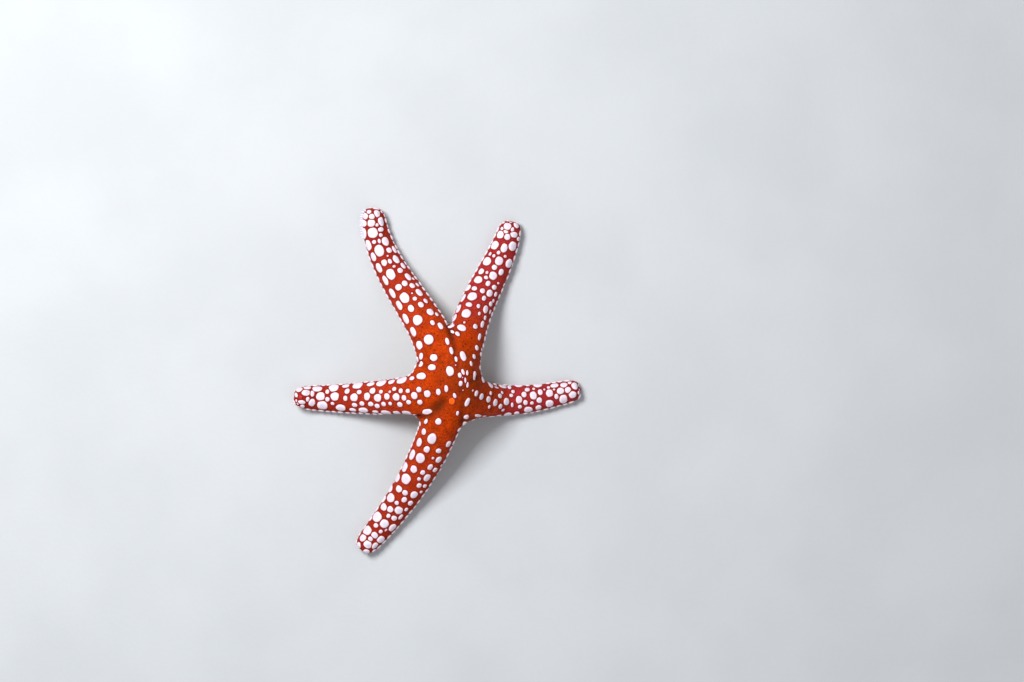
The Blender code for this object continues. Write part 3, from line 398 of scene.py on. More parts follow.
        (-15.5, -32.9, 1.8, 1.0), (-20.9, -33.6, 2.0, 1.9), (-18.0, -33.8, 0.8, 0.7),
        (-16.9, -33.5, 0.7, 0.4), (-21.7, -32.6, 1.2, 0.5), (-19.3, -34.6, 1.4, 1.4),
        (-18.0, -35.5, 1.6, 1.2), (-20.2, -35.4, 1.2, 1.0), (-21.8, -35.2, 1.6, 1.5),
        (-19.3, -36.8, 1.6, 1.1), (-22.7, -36.8, 1.2, 0.9), (-22.5, -34.4, 0.9, 0.5),
    ),
}
# The same on the disc, each with its heading in degrees
DISC_PLATES = (
    (-9.2, 4.1, 1.5, 0.8, 80), (-6.5, 3.8, 1.6, 1.5, 0), (-9.3, 2.4, 1.3, 0.8, 60),
    (-6.9, 1.7, 1.7, 1.3, 0), (-3.0, 0.9, 2.2, 1.6, 105), (-2.7, 5.3, 1.6, 0.8, 105),
    (-3.6, 7.3, 1.6, 0.8, 105), (-1.7, 3.5, 1.2, 0.6, 100), (-2.5, 9.5, 1.5, 0.5, 125),
    (-1.4, 8.9, 1.6, 0.8, 130), (-0.5, 10.2, 2.0, 1.3, 155), (-2.7, 10.7, 1.4, 0.6, 30),
    (-0.2, 4.1, 2.2, 1.1, 105), (2.1, 4.0, 1.1, 0.6, 90), (1.5, 2.5, 1.1, 0.5, 88),
    (2.7, 5.9, 1.2, 0.7, 80), (-0.9, 0.0, 1.2, 0.8, 100), (-0.2, 0.7, 1.3, 0.6, 110),
    (0.7, 0.5, 1.1, 0.5, 90), (-0.7, -1.8, 1.2, 0.8, 85), (0.3, -1.1, 1.2, 0.4, 95),
    (0.8, -2.1, 1.2, 0.5, 85), (2.3, -0.1, 1.9, 0.6, 88), (-3.8, -2.9, 1.5, 0.8, 90),
    (-2.0, -4.4, 1.1, 0.7, 105), (0.7, -5.8, 2.1, 0.8, 75), (-1.4, -8.2, 1.0, 0.6, 85),
    (0.5, -9.0, 1.1, 0.8, 30), (-5.5, -3.6, 1.4, 1.0, 85), (1.9, -3.3, 0.5, 0.3, 60),
    (-0.28, -0.5, 0.35, 0.35, 0), (-0.2, -3.3, 0.5, 0.3, 80), (-1.8, 2.2, 0.3, 0.3, 0),
    (-2.4, 8.0, 0.4, 0.3, 90),
    (5.6, -2.1, 1.8, 0.9, -30), (4.0, -1.0, 1.5, 0.6, -60),
)


def bell(distance, run):
    """Falls smoothly from 1 to 0 over the run."""
    share = min(abs(distance) / run, 1.0)
    return 0.5 + 0.5 * math.cos(math.pi * share)


def step_down(distance, floor, edge):
    """1 as far as the floor's distance, falling smoothly to 0 at the edge's."""
    share = min(max((edge - distance) / (edge - floor), 0.0), 1.0)
    return share * share * (3 - 2 * share)


def in_plan(x, y):
    """A place in plan, from its millimetres from the disc's centre."""
    return DISC_CENTRE + Vector((x, y)) * MILLIMETRE


def level_way(angle):
    """The level direction at an angle."""
    return Vector((math.cos(angle), math.sin(angle), 0.0))


def to_mesh(bm, name):
    """Turns a mesh that is being edited into a finished one."""
    mesh = bpy.data.meshes.new(name)
    bm.to_mesh(mesh)
    bm.free()
    return mesh


def hump(x, y):
    """The height of what the star lies over."""
    along = Vector((math.cos(RIDGE_HEADING), math.sin(RIDGE_HEADING)))
    across = Vector((along.y, -along.x))
    place = Vector((x, y)) - DISC_CENTRE
    right = place.dot(across) + RIDGE_OFFSET
    run = RIGHT_RUN if right > 0 else LEFT_RUN
    return HUMP_HEIGHT * bell(right, run) * bell(place.dot(along), END_RUN)


def hump_normal(x, y, reach=0.001):
    """Which way the hump faces, over a few millimetres."""
    slope_x = (hump(x + reach, y) - hump(x - reach, y)) / (2 * reach)
    slope_y = (hump(x, y + reach) - hump(x, y - reach)) / (2 * reach)
    return Vector((-slope_x, -slope_y, 1.0)).normalized()


def inside_disc(x, y):
    """A point half way through the disc's thickness."""
    return Vector((x, y, hump(x, y) + DISC_THICKNESS / 2))


def through(values, s):
    """The value at s of the parabola through the root's, the middle's and the tip's value."""
    root, middle, tip = values
    return root * (1 - s) * (1 - 2 * s) + 4 * middle * s * (1 - s) + tip * s * (2 * s - 1)


class Arm:
    """One arm, by the share s of its length, 0 at the root and 1 at the tip."""

    def __init__(
        self, name, start, length, headings, half_widths, curl, tip_plate, tip_size, crimson,
        eye_tilt,
    ):
        self.name = name
        self.length = length
        self.half_widths = half_widths
        self.curl = curl
        self.tip_plate = tip_plate
        self.tip_size = tip_size
        self.crimson = crimson
        self.eye_tilt = math.radians(eye_tilt)
        self.plan = [DISC_CENTRE + Vector(start)]
        for i in range(MIDLINE_STEPS):
            heading = math.radians(through(headings, (i + 0.5) / MIDLINE_STEPS))
            step = Vector((math.cos(heading), math.sin(heading))) * length / MIDLINE_STEPS
            self.plan.append(self.plan[-1] + step)

    def half_width(self, s):
        return through(self.half_widths, s)

    def centre(self, s):
        """The midline's point, over the hump or on the floor."""
        place = s * MIDLINE_STEPS
        first = min(max(int(place), 0), MIDLINE_STEPS - 1)
        x, y = self.plan[first].lerp(self.plan[first + 1], place - first)
        lift = self.curl * max(0.0, (s - CURL_START) / (1 - CURL_START)) ** 2
        belly = BELLY_RATIO * self.half_width(min(s, 1.0)) - FLOOR_SINK
        return Vector((x, y, hump(x, y) + belly + lift))

    def frame(self, s, step=0.01):
        """The midline's point, and the directions along the arm, to its right and up."""
        point = self.centre(s)
        along = (self.centre(s + step) - self.centre(s - step)).normalized()
        right = along.cross(hump_normal(point.x, point.y)).normalized()
        return point, along, right, right.cross(along)

    def section_point(self, s, spot, size=1.0):
        """A corner of the cage. Spots 0 to 7 go round from the lower right, 8 is the middle."""
        point, along, right, up = self.frame(s)
        if spot == 8:
            return point
        turn = math.radians(45 * spot - 45)
        across = math.cos(turn)
        rise = math.sin(turn)
        if rise > 0:
            rise *= HEIGHT_RATIO
        elif rise < 0:
            across *= BELLY_WIDTH
            rise = -BELLY_RATIO * (1.0 if spot == 7 else BELLY_EDGE)
        half_width = self.half_width(s) * CAGE_SWELL * size
        return point + half_width * (across * right + rise * up)

    def outward(self, s, turn):
        """The midline's point and a direction out of it, turned in degrees to the left of up."""
        point, along, right, up = self.frame(s)
        angle = math.radians(turn)
        return point, up * math.cos(angle) - right * math.sin(angle)

    def share_beside(self, place):
        """The share of the arm that lies nearest to a place in plan."""
        first = min(range(MIDLINE_STEPS), key=lambda i: (self.plan[i] - place).length)
        step = (self.plan[first + 1] - self.plan[first]).normalized()
        return first / MIDLINE_STEPS + (place - self.plan[first]).dot(step) / self.length


@functools.lru_cache(None)
def all_arms():
    return tuple(Arm(**facts) for facts in ARMS)


def disc_cage(bm):
    """A ten-sided drum of two layers. Its corners are the arms' roots and the valleys in turn."""
    sides = 2 * len(ARMS)
    bmesh.ops.create_cone(
        bm, cap_ends=True, cap_tris=True, segments=sides, radius1=1, radius2=1, depth=2
    )
    bmesh.ops.bisect_plane(
        bm, geom=bm.verts[:] + bm.edges[:] + bm.faces[:], plane_co=(0, 0, 0), plane_no=(0, 0, 1)
    )
    corners = {}
    for corner in bm.verts:
        level = round(corner.co.z)
        if corner.co.xy.length < 0.5:
            corners["centre", level] = corner
        else:
            turn = math.degrees(math.atan2(corner.co.y, corner.co.x)) - 18
            corners[round(turn * sides / 360) % sides, level] = corner
    spokes = [
        edge
        for edge in bm.edges
        for level in (-1, 1)
        if corners["centre", level] in edge.verts
        and any(corners[2 * k, level] in edge.verts for k in range(len(ARMS)))
    ]
    bmesh.ops.dissolve_edges(bm, edges=spokes, use_verts=False)
    return corners


def pole_corner(target, edge_sum, face_sum, count):
    """The cage corner that Catmull-Clark smooths to the target, by its neighbours' sums."""
    whole = count * (count + 5)
    return (whole * target - 4 * edge_sum - face_sum) / (count * count)


def place_disc(corners):
    """Even corners are the arms' roots, and odd ones the valleys after them."""
    heights = {-1: -BELLY_RATIO, 0: 0.0, 1: HEIGHT_RATIO}
    for k, arm in enumerate(all_arms()):
        point, along, right, up = arm.frame(0.0)
        x, y = DISC_CENTRE + Vector(VALLEYS[k])
        middle = Vector((x, y, hump(x, y) + VALLEY_THICKNESS / 2))
        inward = -Vector((*VALLEYS[k], 0.0)).normalized()
        facing = hump_normal(x, y)
        for level, height in heights.items():
            corners[2 * k, level].co = point + up * height * arm.half_width(0) * CAGE_SWELL
            shift = inward * VALLEY_INSET * abs(level) + facing * VALLEY_THICKNESS / 2 * level
            corners[2 * k + 1, level].co = middle + shift
    x, y = DISC_CENTRE
    for level, height in ((-1, 0.0), (1, DISC_THICKNESS)):
        target = Vector((x, y, hump(x, y) + height))
        roots = sum((corners[2 * k, level].co for k in range(len(ARMS))), Vector())
        valleys = sum((corners[2 * k + 1, level].co for k in range(len(ARMS))), Vector())
        corners["centre", level].co = pole_corner(target, valleys, roots, len(ARMS))


def extrude_arm(bm, arm, k, corners):
    """Draws the four side faces at the arm's root out along its midline, section by section."""
    sides = 2 * len(ARMS)
    right, root, left = (2 * k - 1) % sides, 2 * k, 2 * k + 1
    ring = [
        (right, -1), (right, 0), (right, 1), (root, 1),
        (left, 1), (left, 0), (left, -1), (root, -1), (root, 0),
    ]
    spot = bm.verts.layers.int["spot"]
    for number, key in enumerate(ring):
        corners[key][spot] = number
    faces = list(corners[root, 0].link_faces)
    for s in STATIONS:
        grown = bmesh.ops.extrude_face_region(bm, geom=faces)["geom"]
        bmesh.ops.delete(bm, geom=faces, context="FACES")
        faces = [item for item in grown if isinstance(item, bmesh.types.BMFace)]
        size = TIP_SIZE if s == STATIONS[-1] else 1.0
        for corner in grown:
            if isinstance(corner, bmesh.types.BMVert):
                corner.co = arm.section_point(s, corner[spot], size)
                if corner[spot] == 8:
                    end = corner
    end.co = arm.centre(TIP_REACH)


@functools.lru_cache(None)
def smooth_mesh():
    """The whole body without its fine forms, flat where it lies on the floor."""
    bm = bmesh.new()
    bm.verts.layers.int.new("spot")
    corners = disc_cage(bm)
    place_disc(corners)
    for k, arm in enumerate(all_arms()):
        extrude_arm(bm, arm, k, corners)
    bmesh.ops.recalc_face_normals(bm, faces=bm.faces)
    guide = bpy.data.objects.new("body_cage", to_mesh(bm, "body_cage"))
    bpy.context.scene.collection.objects.link(guide)
    smooth = guide.modifiers.new("Smooth", "SUBSURF")
    smooth.levels = SKIN_LEVELS
    smooth.render_levels = SKIN_LEVELS
    bpy.context.view_layer.update()
    evaluated = guide.evaluated_get(bpy.context.evaluated_depsgraph_get())
    mesh = bpy.data.meshes.new_from_object(evaluated)
    bpy.data.objects.remove(guide)
    for corner in mesh.vertices:
        corner.co.z = max(corner.co.z, 0.0)
    return mesh


@functools.lru_cache(None)
def smooth_form():
    """A search tree of the smooth body, which every piece is placed on."""
    bm = bmesh.new()
    bm.from_mesh(smooth_mesh())
    tree = BVHTree.FromBMesh(bm)
    bm.free()
    return tree


def surface(start, direction):
    """The point where a ray from inside the body leaves it, and the surface's normal there."""
    place, normal, face, way = smooth_form().ray_cast(start, direction)
    return place, normal


def seen_place(place, inside):
    """What a viewer from above sees at a place in plan: the point, and the surface's normal."""
    target = Vector((*place, SEEN_HEIGHT))
    while True:
        direction = (target - VIEWER).normalized()
        point, normal, face, way = smooth_form().ray_cast(VIEWER, direction)
        if point:
            return point, normal
        target += (inside - target).normalized() * SEEN_STEP


def walk(points, step):
    """Points at even short steps along a line through the given ones, with their shares of it."""
    lengths = [(b - a).length for a, b in zip(points, points[1:])]
    whole = sum(lengths)
    passed = 0.0
    for (a, b), length in zip(zip(points, points[1:]), lengths):
        count = max(1, round(length / step))
        for i in range(count):
            yield a.lerp(b, i / count), (passed + length * i / count) / whole
        passed += length
    yield points[-1], 1.0


def search_tree(points):
    tree = KDTree(len(points))
    for i, point in enumerate(points):
        tree.insert(point, i)
    tree.balance()
    return tree


@functools.lru_cache(None)
def mouth_place():
    """The middle of the underside, and the way that it faces."""
    down = -hump_normal(*DISC_CENTRE)
    return surface(inside_disc(*DISC_CENTRE), down)[0], down


@functools.lru_cache(None)
def furrow_tree():
    """A search tree of close points along the five furrows, on the smooth underside."""
    found = []
    centre = inside_disc(*DISC_CENTRE)
    for arm in all_arms():
        half_way = centre.lerp(arm.centre(0.0), 0.5)
        starts = [(point, -hump_normal(point.x, point.y)) for point in (centre, half_way)]
        for i in range(FURROW_STEPS + 1):
            starts.append(arm.outward(FURROW_END * i / FURROW_STEPS, 180))
        line = [surface(start, down)[0] for start, down in starts]
        found += [point for point, share in walk(line, PATH_STEP)]
    return search_tree(found)


@functools.lru_cache(None)
def crease_lines():
    """For each crease a search tree in plan of close points along it, their depths, its reach."""
    found = []
    for line, (first, last), reach in CREASES:
        points = [Vector((*(DISC_CENTRE + Vector(point) * MILLIMETRE), 0.0)) for point in line]
        steps = list(walk(points, PATH_STEP))
        depths = [(first + (last - first) * share) * MILLIMETRE for point, share in steps]
        found.append((search_tree([point for point, share in steps]), depths, reach * MILLIMETRE))
    return found


def crease_depth(point):
    """How deep a crease or a hollow draws the back in at a point."""
    if (point.xy - DISC_CENTRE).length > CREASED_REACH:
        return 0.0
    deepest = 0.0
    for tree, depths, reach in crease_lines():
        place, i, way = tree.find((point.x, point.y, 0.0))
        deepest = max(deepest, depths[i] * bell(way, reach))
    return deepest


def shade_share(point):
    """How far painted shade, partly the skin's own browner tone, browns the back at a point, by
    its place in plan.
    """
    place = point.xy - DISC_CENTRE
    return max(
        share * bell((place - Vector(middle) * MILLIMETRE).length, radius * MILLIMETRE)
        for middle, radius, share in SHADES
    )


def furrow_share(point):
    """1 on the ceiling of a furrow, 0 beside it."""
    place, i, way = furrow_tree().find(point)
    return step_down(way, FURROW_FLOOR, FURROW_EDGE)


def mouth_share(point):
    """1 in the mouth, 0 round it."""
    way = (point - mouth_place()[0]).length
    return step_down(way, MOUTH_FLOOR, MOUTH_EDGE)


class Scute:
    """A plate of the skeleton on the smooth form."""

    def __init__(self, point, facing, along, half_length, half_width, kind="back"):
        self.point = point
        self.facing = facing
        self.across = facing.cross(along).normalized()
        self.along = self.across.cross(facing)
        self.half_length = half_length
        self.half_width = half_width
        self.kind = kind
        self.walls = []
        self.dice = random.Random(f"{SEED} {point.x:.5f} {point.y:.5f} {point.z:.5f}")

    def reach(self, way):
        """How far the plate's edge lies from its middle in a direction."""
        length = math.hypot(way.dot(self.along), way.dot(self.across)) or 1.0
        share_along = way.dot(self.along) / length / self.half_length
        share_across = way.dot(self.across) / length / self.half_width
        return 1.0 / math.hypot(share_along, share_across)

    def beyond(self, point):
        """How far a point lies beyond the plate's edge, less than 0 on the plate."""
        way = point - self.point
        return way.length - self.reach(way)

    def held(self, way, share):
        """A way out from the middle, drawn in where the plate meets its neighbours."""
        reach = max((way.dot(line) / (share * room) for line, room in self.walls), default=0.0)
        return way / max(reach, 1.0)

    def shrink(self, way, amount):
        if self.kind == "fixed":
            return
        part = way.normalized().dot(self.along) ** 2
        self.half_length -= amount * part
        self.half_width -= amount * (1 - part)


def seen_scute(place, inside, along, length, width, kind="back"):
    """A plate whose length and width are as seen from above."""
    point, facing = seen_place(place, inside)
    across = facing.cross(along).normalized()
    long_way = across.cross(facing)
    half_length = length / 2 / max(long_way.xy.length, STEEPEST_PART)
    half_width = width / 2 / max(across.xy.length, STEEPEST_PART)
    return Scute(point, facing, along, half_length, half_width, kind)


def least_gap(point):
    """The least skin between plates, which is narrower toward the tips."""
    arm, share = arm_and_share(point)
    wide, narrow = PLATE_GAPS
    return narrow + (wide - narrow) * step_down(share, 0.5, 1.0)


def keep_apart(scutes):
    """Shrinks plates that overlap until a little skin shows between them."""
    tree = search_tree([scute.point for scute in scutes])
    gaps = [least_gap(scute.point) for scute in scutes]
    for _ in range(SPREAD_ROUNDS):
        for i, first in enumerate(scutes):
            for place, j, way in tree.find_range(first.point, SPREAD_REACH):
                if j <= i:
                    continue
                second = scutes[j]
                line = second.point - first.point
                room = line.length - first.reach(line) - second.reach(line) - gaps[i]
                if room < 0:
                    first.shrink(line, -room / 2)
                    second.shrink(line, -room / 2)
    return [
        scute for scute in scutes
        if scute.kind == "fixed" or min(scute.half_length, scute.half_width) > SMALLEST_HALF
    ]


def room_for(point, scutes, most):
    """The radius that a round plate may have at a point among the others."""
    room = most
    for scute in scutes:
        way = point - scute.point
        if way.length < SPREAD_REACH:
            room = min(room, scute.beyond(point) - ROOM)
    return room


def add_where_free(scutes, point, facing, along, sizes, kind, dice):
    """Adds a roundish plate where one of its least size or more has room."""
    least, most = sizes
    radius = room_for(point, scutes, most)
    if radius > least:
        stretch = dice.uniform(*STRETCHES)
        scutes.append(Scute(point, facing, along, radius * stretch, radius, kind))


@functools.lru_cache(None)
def end_scutes():
    """Each arm's terminal plate."""
    return tuple(
        seen_scute(
            DISC_CENTRE + Vector(arm.tip_plate), arm.centre(FURROW_END), arm.frame(FURROW_END)[1],
            *arm.tip_size, kind="fixed",
        )
        for arm in all_arms()
    )


@functools.lru_cache(None)
def madreporite_scute():
    inside = inside_disc(*DISC_CENTRE)
    along = Vector((1.0, 0.0, 0.0))
    place = DISC_CENTRE + Vector(MADREPORITE_PLACE)
    return seen_scute(place, inside, along, *MADREPORITE_SIZE, "fixed")


def eye_place(arm):
    """Where an arm's eye spot lies, and which way it faces."""
    centre, along, right, up = arm.frame(FURROW_END)
    facing = along * math.cos(arm.eye_tilt) + up * math.sin(arm.eye_tilt)
    return surface(centre, facing)[0], facing


def seen_scutes(arm):
    """The plates that the photograph shows on an arm."""
    found = []
    for x, y, length, width in PLATES[arm.name]:
        place = in_plan(x, y)
        s = arm.share_beside(place)
        size = (length * MILLIMETRE, width * MILLIMETRE)
        found.append(seen_scute(place, arm.centre(s), arm.frame(s)[1], *size))
    return found


def disc_scutes():
    """The scattered plates on the disc's back."""
    found = []
    for x, y, length, width, heading in DISC_PLATES:
        place = in_plan(x, y)
        along = level_way(math.radians(heading))
        size = (length * MILLIMETRE, width * MILLIMETRE)
        found.append(seen_scute(place, inside_disc(*DISC_CENTRE), along, *size))
    return found


def edge_turn(arm, s, side):
    """How many degrees round from the crest an arm's side is as level as its edge row is."""
    low, high = EDGE_SEARCH
    for _ in range(EDGE_HALVINGS):
        middle = (low + high) / 2
        point, facing = surface(*arm.outward(s, side * middle))
        if facing.z > EDGE_SLOPE:
            low = middle
        else:
            high = middle
    return low


def edge_scutes(arm, others, dice):
    """The even row of plates along each edge of an arm."""
    count = round((ROW_END - ROW_START) * arm.length / EDGE_SPACING)
    for i in range(count):
        for side in (1, -1):
            place = i + 0.5 + dice.uniform(-EDGE_SHIFT, EDGE_SHIFT)
            s = ROW_START + (ROW_END - ROW_START) * place / count
            turn = side * (edge_turn(arm, s, side) + dice.uniform(-EDGE_SWAY, EDGE_SWAY))
            point, facing = surface(*arm.outward(s, turn))
            room = room_for(point, others, EDGE_PLATE[1] * dice.uniform(*EDGE_SIZES))
            if room > LEAST_EDGE:
                length = min(EDGE_PLATE[0] * dice.uniform(*EDGE_SIZES), EDGE_STRETCH * room)
                others.append(Scute(point, facing, arm.frame(s)[1], length, room, kind="edge"))


def filling_scutes(arm, others, dice):
    """Smaller plates wherever the flanks and the underside of an arm have room for them."""
    for tries, turns, sizes, kind in (
        (FLANK_TRIES, FLANK_TURNS, FLANK_HALF, "back"),
        (BELLY_TRIES, BELLY_TURNS, BELLY_HALF, "belly"),
    ):
        for _ in range(tries):
            s = dice.uniform(ROW_START, ROW_END)
            turn = dice.uniform(*turns) * dice.choice((1, -1))
            point, facing = surface(*arm.outward(s, turn))
            if facing.z < HIDDEN_SLOPE and furrow_free(point):
                add_where_free(others, point, facing, arm.frame(s)[1], sizes, kind, dice)
    centre, along, right, up = arm.frame(FURROW_END)
    for _ in range(TIP_TRIES):
        direction = along * dice.uniform(0.2, 1) + right * dice.uniform(-1, 1)
        direction += up * dice.uniform(-0.7, 1)
        point, facing = surface(centre, direction)
        if furrow_free(point):
            add_where_free(others, point, facing, right, TIP_HALF, "back", dice)


def furrow_free(point):
    """Whether a point lies clear of the furrows, the spines beside them and the mouth."""
    place, i, way = furrow_tree().find(point)
    return way > SPINE_BAND and (point - mouth_place()[0]).length > MOUTH_BAND


def disc_filling(others, dice):
    """Smaller plates on the disc's sides and underside, where there is room for them."""
    middle = inside_disc(*DISC_CENTRE)
    for _ in range(DISC_TRIES):
        heading = dice.uniform(0, math.tau)
        start = middle + level_way(heading) * dice.uniform(0, DISC_SPREAD)
        tilt = dice.uniform(*DISC_TILTS)
        direction = Vector((
            math.cos(heading) * math.cos(tilt), math.sin(heading) * math.cos(tilt), math.sin(tilt)
        ))
        point, facing = surface(start, direction)
        if not point or facing.z > HIDDEN_SLOPE or not furrow_free(point):
            continue
        if (point.xy - DISC_CENTRE).length > DISC_REACH:
            continue
        kind = "belly" if facing.z < BELLY_FACING else "back"
        sizes = BELLY_HALF if kind == "belly" else FLANK_HALF
        add_where_free(others, point, facing, direction.orthogonal(), sizes, kind, dice)


def crowd_tips(scutes):
    """Grows the plates toward the arms' tips, and ends all plates where they meet."""
    start, full = CROWDED
    tree = search_tree([scute.point for scute in scutes])
    for scute in scutes:
        if scute.kind != "fixed":
            arm, share = arm_and_share(scute.point)
            growth = 1 + CROWD_GROWTH * (1 - step_down(share, start, full))
            scute.half_length *= growth
            scute.half_width *= growth
    for scute in scutes:
        for place, i, way in tree.find_range(scute.point, SPREAD_REACH):
            other = scutes[i]
            if other is scute:
                continue
            line = other.point - scute.point
            own = scute.reach(line)
            both = own + other.reach(line)
            if both > RIM_SHARE * way:
                scute.walls.append((line / way, way * own / both))


@functools.lru_cache(None)
def all_scutes():
    """Every plate of the body, by the arm or disc that it lies on."""
    dice = random.Random(SEED)
    fixed = list(end_scutes()) + [madreporite_scute()]
    for arm in all_arms():
        point, facing = eye_place(arm)
        fixed.append(Scute(point, facing, facing.orthogonal(), EYE_RADIUS, EYE_RADIUS, "fixed"))
    owners = {arm.name: seen_scutes(arm) for arm in all_arms()}
    owners["disc"] = disc_scutes()
    seen = [scute for group in owners.values() for scute in group]
    kept = set(map(id, keep_apart(seen + fixed)))
    for name, group in owners.items():
        owners[name] = [scute for scute in group if id(scute) in kept]
    everything = fixed + [scute for group in owners.values() for scute in group]
    for arm in all_arms():
        start = len(everything)
        edge_scutes(arm, everything, dice)
        owners[arm.name] += everything[start:]
    for arm in all_arms():
        start = len(everything)
        filling_scutes(arm, everything, dice)
        owners[arm.name] += everything[start:]
    start = len(everything)
    disc_filling(everything, dice)
    owners["disc"] += everything[start:]
    crowd_tips(everything)
    return owners


@functools.lru_cache(None)
def scute_tree():
    """A search tree of every plate's middle, and the plates in its order."""
    scutes = [scute for group in all_scutes().values() for scute in group]
    scutes += list(end_scutes()) + [madreporite_scute()]
    return search_tree([scute.point for scute in scutes]), scutes


def swelling(point):
    """1 under a plate, falling to 0 a little way beyond its edge."""
    tree, scutes = scute_tree()
    most = 0.0
    for place, i, way in tree.find_n(point, NEAR_PLATES):
        most = max(most, step_down(scutes[i].beyond(point), 0.0, SWELL_REACH))
    return most


@functools.lru_cache(None)
def midline_tree():
    """A search tree of points along all the arms' midlines, each one's arm and share of it."""
    found = []
    shares = []
    for arm in all_arms():
        for i in range(MIDLINE_STEPS + 1):
            found.append(arm.centre(i / MIDLINE_STEPS))
            shares.append((arm, i / MIDLINE_STEPS))
    return search_tree(found), shares


def arm_and_share(point):
    """The arm nearest to a point, and how far out along it the point lies."""
    tree, shares = midline_tree()
    place, i, way = tree.find(point)
    return shares[i]


def linear(red, green, blue):
    """A colour as a picture editor gives it, 0 to 255, as the amounts of light."""
    return tuple(
        part / 3294.6 if part <= 10 else ((part / 255 + 0.055) / 1.055) ** 2.4
        for part in (red, green, blue)
    )


def feed(tree, socket, value):
    """Links a socket to another one, or sets its number or colour."""
    if isinstance(value, bpy.types.NodeSocket):
        tree.links.new(value, socket)
    elif socket.type == "RGBA" and len(value) == 3:
        socket.default_value = (*value, 1.0)
    else:
        socket.default_value = value


def maths(tree, operation, first, second=0.0):
    node = tree.nodes.new("ShaderNodeMath")
    node.operation = operation
    node.use_clamp = operation in ("MULTIPLY", "SUBTRACT", "ADD")
    feed(tree, node.inputs[0], first)
    feed(tree, node.inputs[1], second)
    return node.outputs[0]


def blended(tree, share, first, second):
    """The first colour where the share is 0, and the second where it is 1."""
    node = tree.nodes.new("ShaderNodeMix")
    node.data_type = "RGBA"
    feed(tree, node.inputs[0], share)
    feed(tree, node.inputs[6], first)
    feed(tree, node.inputs[7], second)
    return node.outputs[2]


def ramp(tree, value, low, high, to_low=0.0, to_high=1.0):
    """Carries a value smoothly from one range to another."""
    node = tree.nodes.new("ShaderNodeMapRange")
    node.interpolation_type = "SMOOTHSTEP"
    for socket, number in zip(node.inputs[:5], (value, low, high, to_low, to_high)):
        feed(tree, socket, number)
    return node.outputs[0]


def attribute(tree, name):
    node = tree.nodes.new("ShaderNodeAttribute")
    node.attribute_name = name
    return node.outputs["Fac"]


def texture(tree, kind, scale):
    """A texture that stays with the model."""
    node = tree.nodes.new(kind)
    feed(tree, node.inputs["Vector"], tree.nodes.new("ShaderNodeTexCoord").outputs["Object"])
    feed(tree, node.inputs["Scale"], scale)
    return node


def new_group(name, inputs, outputs):
    """An empty node group with these sockets: its tree, what goes in and what goes out."""
    tree = bpy.data.node_groups.new(name, "ShaderNodeTree")
    for label, kind, value in inputs:
        tree.interface.new_socket(label, in_out="INPUT", socket_type=kind).default_value = value
    for label, kind in outputs:
        tree.interface.new_socket(label, in_out="OUTPUT", socket_type=kind)
    return tree, tree.nodes.new("NodeGroupInput").outputs, tree.nodes.new("NodeGroupOutput").inputs


@functools.lru_cache(None)
def granules_group():
    """Fine rounded grains, as a height and as a mask of the furrows between them, where painted
    shade goes.
    """
    tree, given, out = new_group(
        "Fine granules",
        [("Scale", "NodeSocketFloat", 6000.0)],
        [("Height", "NodeSocketFloat"), ("Between", "NodeSocketFloat")],
    )
    cells = texture(tree, "ShaderNodeTexVoronoi", given["Scale"])
    feed(tree, out["Height"], ramp(tree, cells.outputs["Distance"], 0.75, 0.1))
    feed(tree, out["Between"], ramp(tree, cells.outputs["Distance"], 0.45, 0.8))
    return tree


@functools.lru_cache(None)
def mottling_group():
    """Soft irregular patches between two colours."""
    tree, given, out = new_group(
        "Mottling",
        [
            ("First", "NodeSocketColor", (0.5, 0.5, 0.5, 1.0)),
            ("Second", "NodeSocketColor", (0.2, 0.2, 0.2, 1.0)),
            ("Scale", "NodeSocketFloat", 700.0),
            ("Share", "NodeSocketFloat", 0.5),
        ],
        [("Colour", "NodeSocketColor"), ("Mask", "NodeSocketFloat")],
    )
    patches = texture(tree, "ShaderNodeTexNoise", given["Scale"])
    patches.inputs["Detail"].default_value = 4.0
    mask = ramp(tree, patches.outputs["Fac"], 0.32, 0.68)
    share = maths(tree, "MULTIPLY", mask, given["Share"])
    feed(tree, out["Mask"], mask)
    feed(tree, out["Colour"], blended(tree, share, given["First"], given["Second"]))
    return tree


@functools.lru_cache(None)
def specks_group():
    """Small scattered dots, as a mask."""
    tree, given, out = new_group(
        "Specks",
        [
            ("Scale", "NodeSocketFloat", 1300.0),
            ("Radius", "NodeSocketFloat", 0.2),
            ("Share", "NodeSocketFloat", 0.6),
        ],
        [("Mask", "NodeSocketFloat")],
    )
    cells = texture(tree, "ShaderNodeTexVoronoi", given["Scale"])
    chance = tree.nodes.new("ShaderNodeSeparateColor")
    feed(tree, chance.inputs[0], cells.outputs["Color"])
    kept = maths(tree, "LESS_THAN", chance.outputs[0], given["Share"])
    soft = maths(tree, "MULTIPLY", given["Radius"], 0.5)
    dot = ramp(tree, cells.outputs["Distance"], given["Radius"], soft)
    feed(tree, out["Mask"], maths(tree, "MULTIPLY", dot, kept))
    return tree


def placed_group(tree, group, **values):
    """Sets a node group into a tree with its own values."""
    node = tree.nodes.new("ShaderNodeGroup")
    node.node_tree = group
    for label, value in values.items():
        feed(tree, node.inputs[label], value)
    return node.outputs


def mottle(tree, first, second, scale, share):
    """Sets patches of the second colour into the first."""
    return placed_group(
        tree, mottling_group(), First=first, Second=second, Scale=scale, Share=share
    )


def complete(tree, shader, colour, mask, roughness, grains, rise):
    """Gives a finish its colour, its roughness where the mask is 0 and 1, and its grains' rise."""
    feed(tree, shader.inputs["Base Color"], colour)
    feed(tree, shader.inputs["Roughness"], ramp(tree, mask, 0.0, 1.0, *roughness))
    bump = tree.nodes.new("ShaderNodeBump")
    bump.inputs["Distance"].default_value = rise
    feed(tree, bump.inputs["Height"], grains["Height"])
    feed(tree, shader.inputs["Normal"], bump.outputs["Normal"])


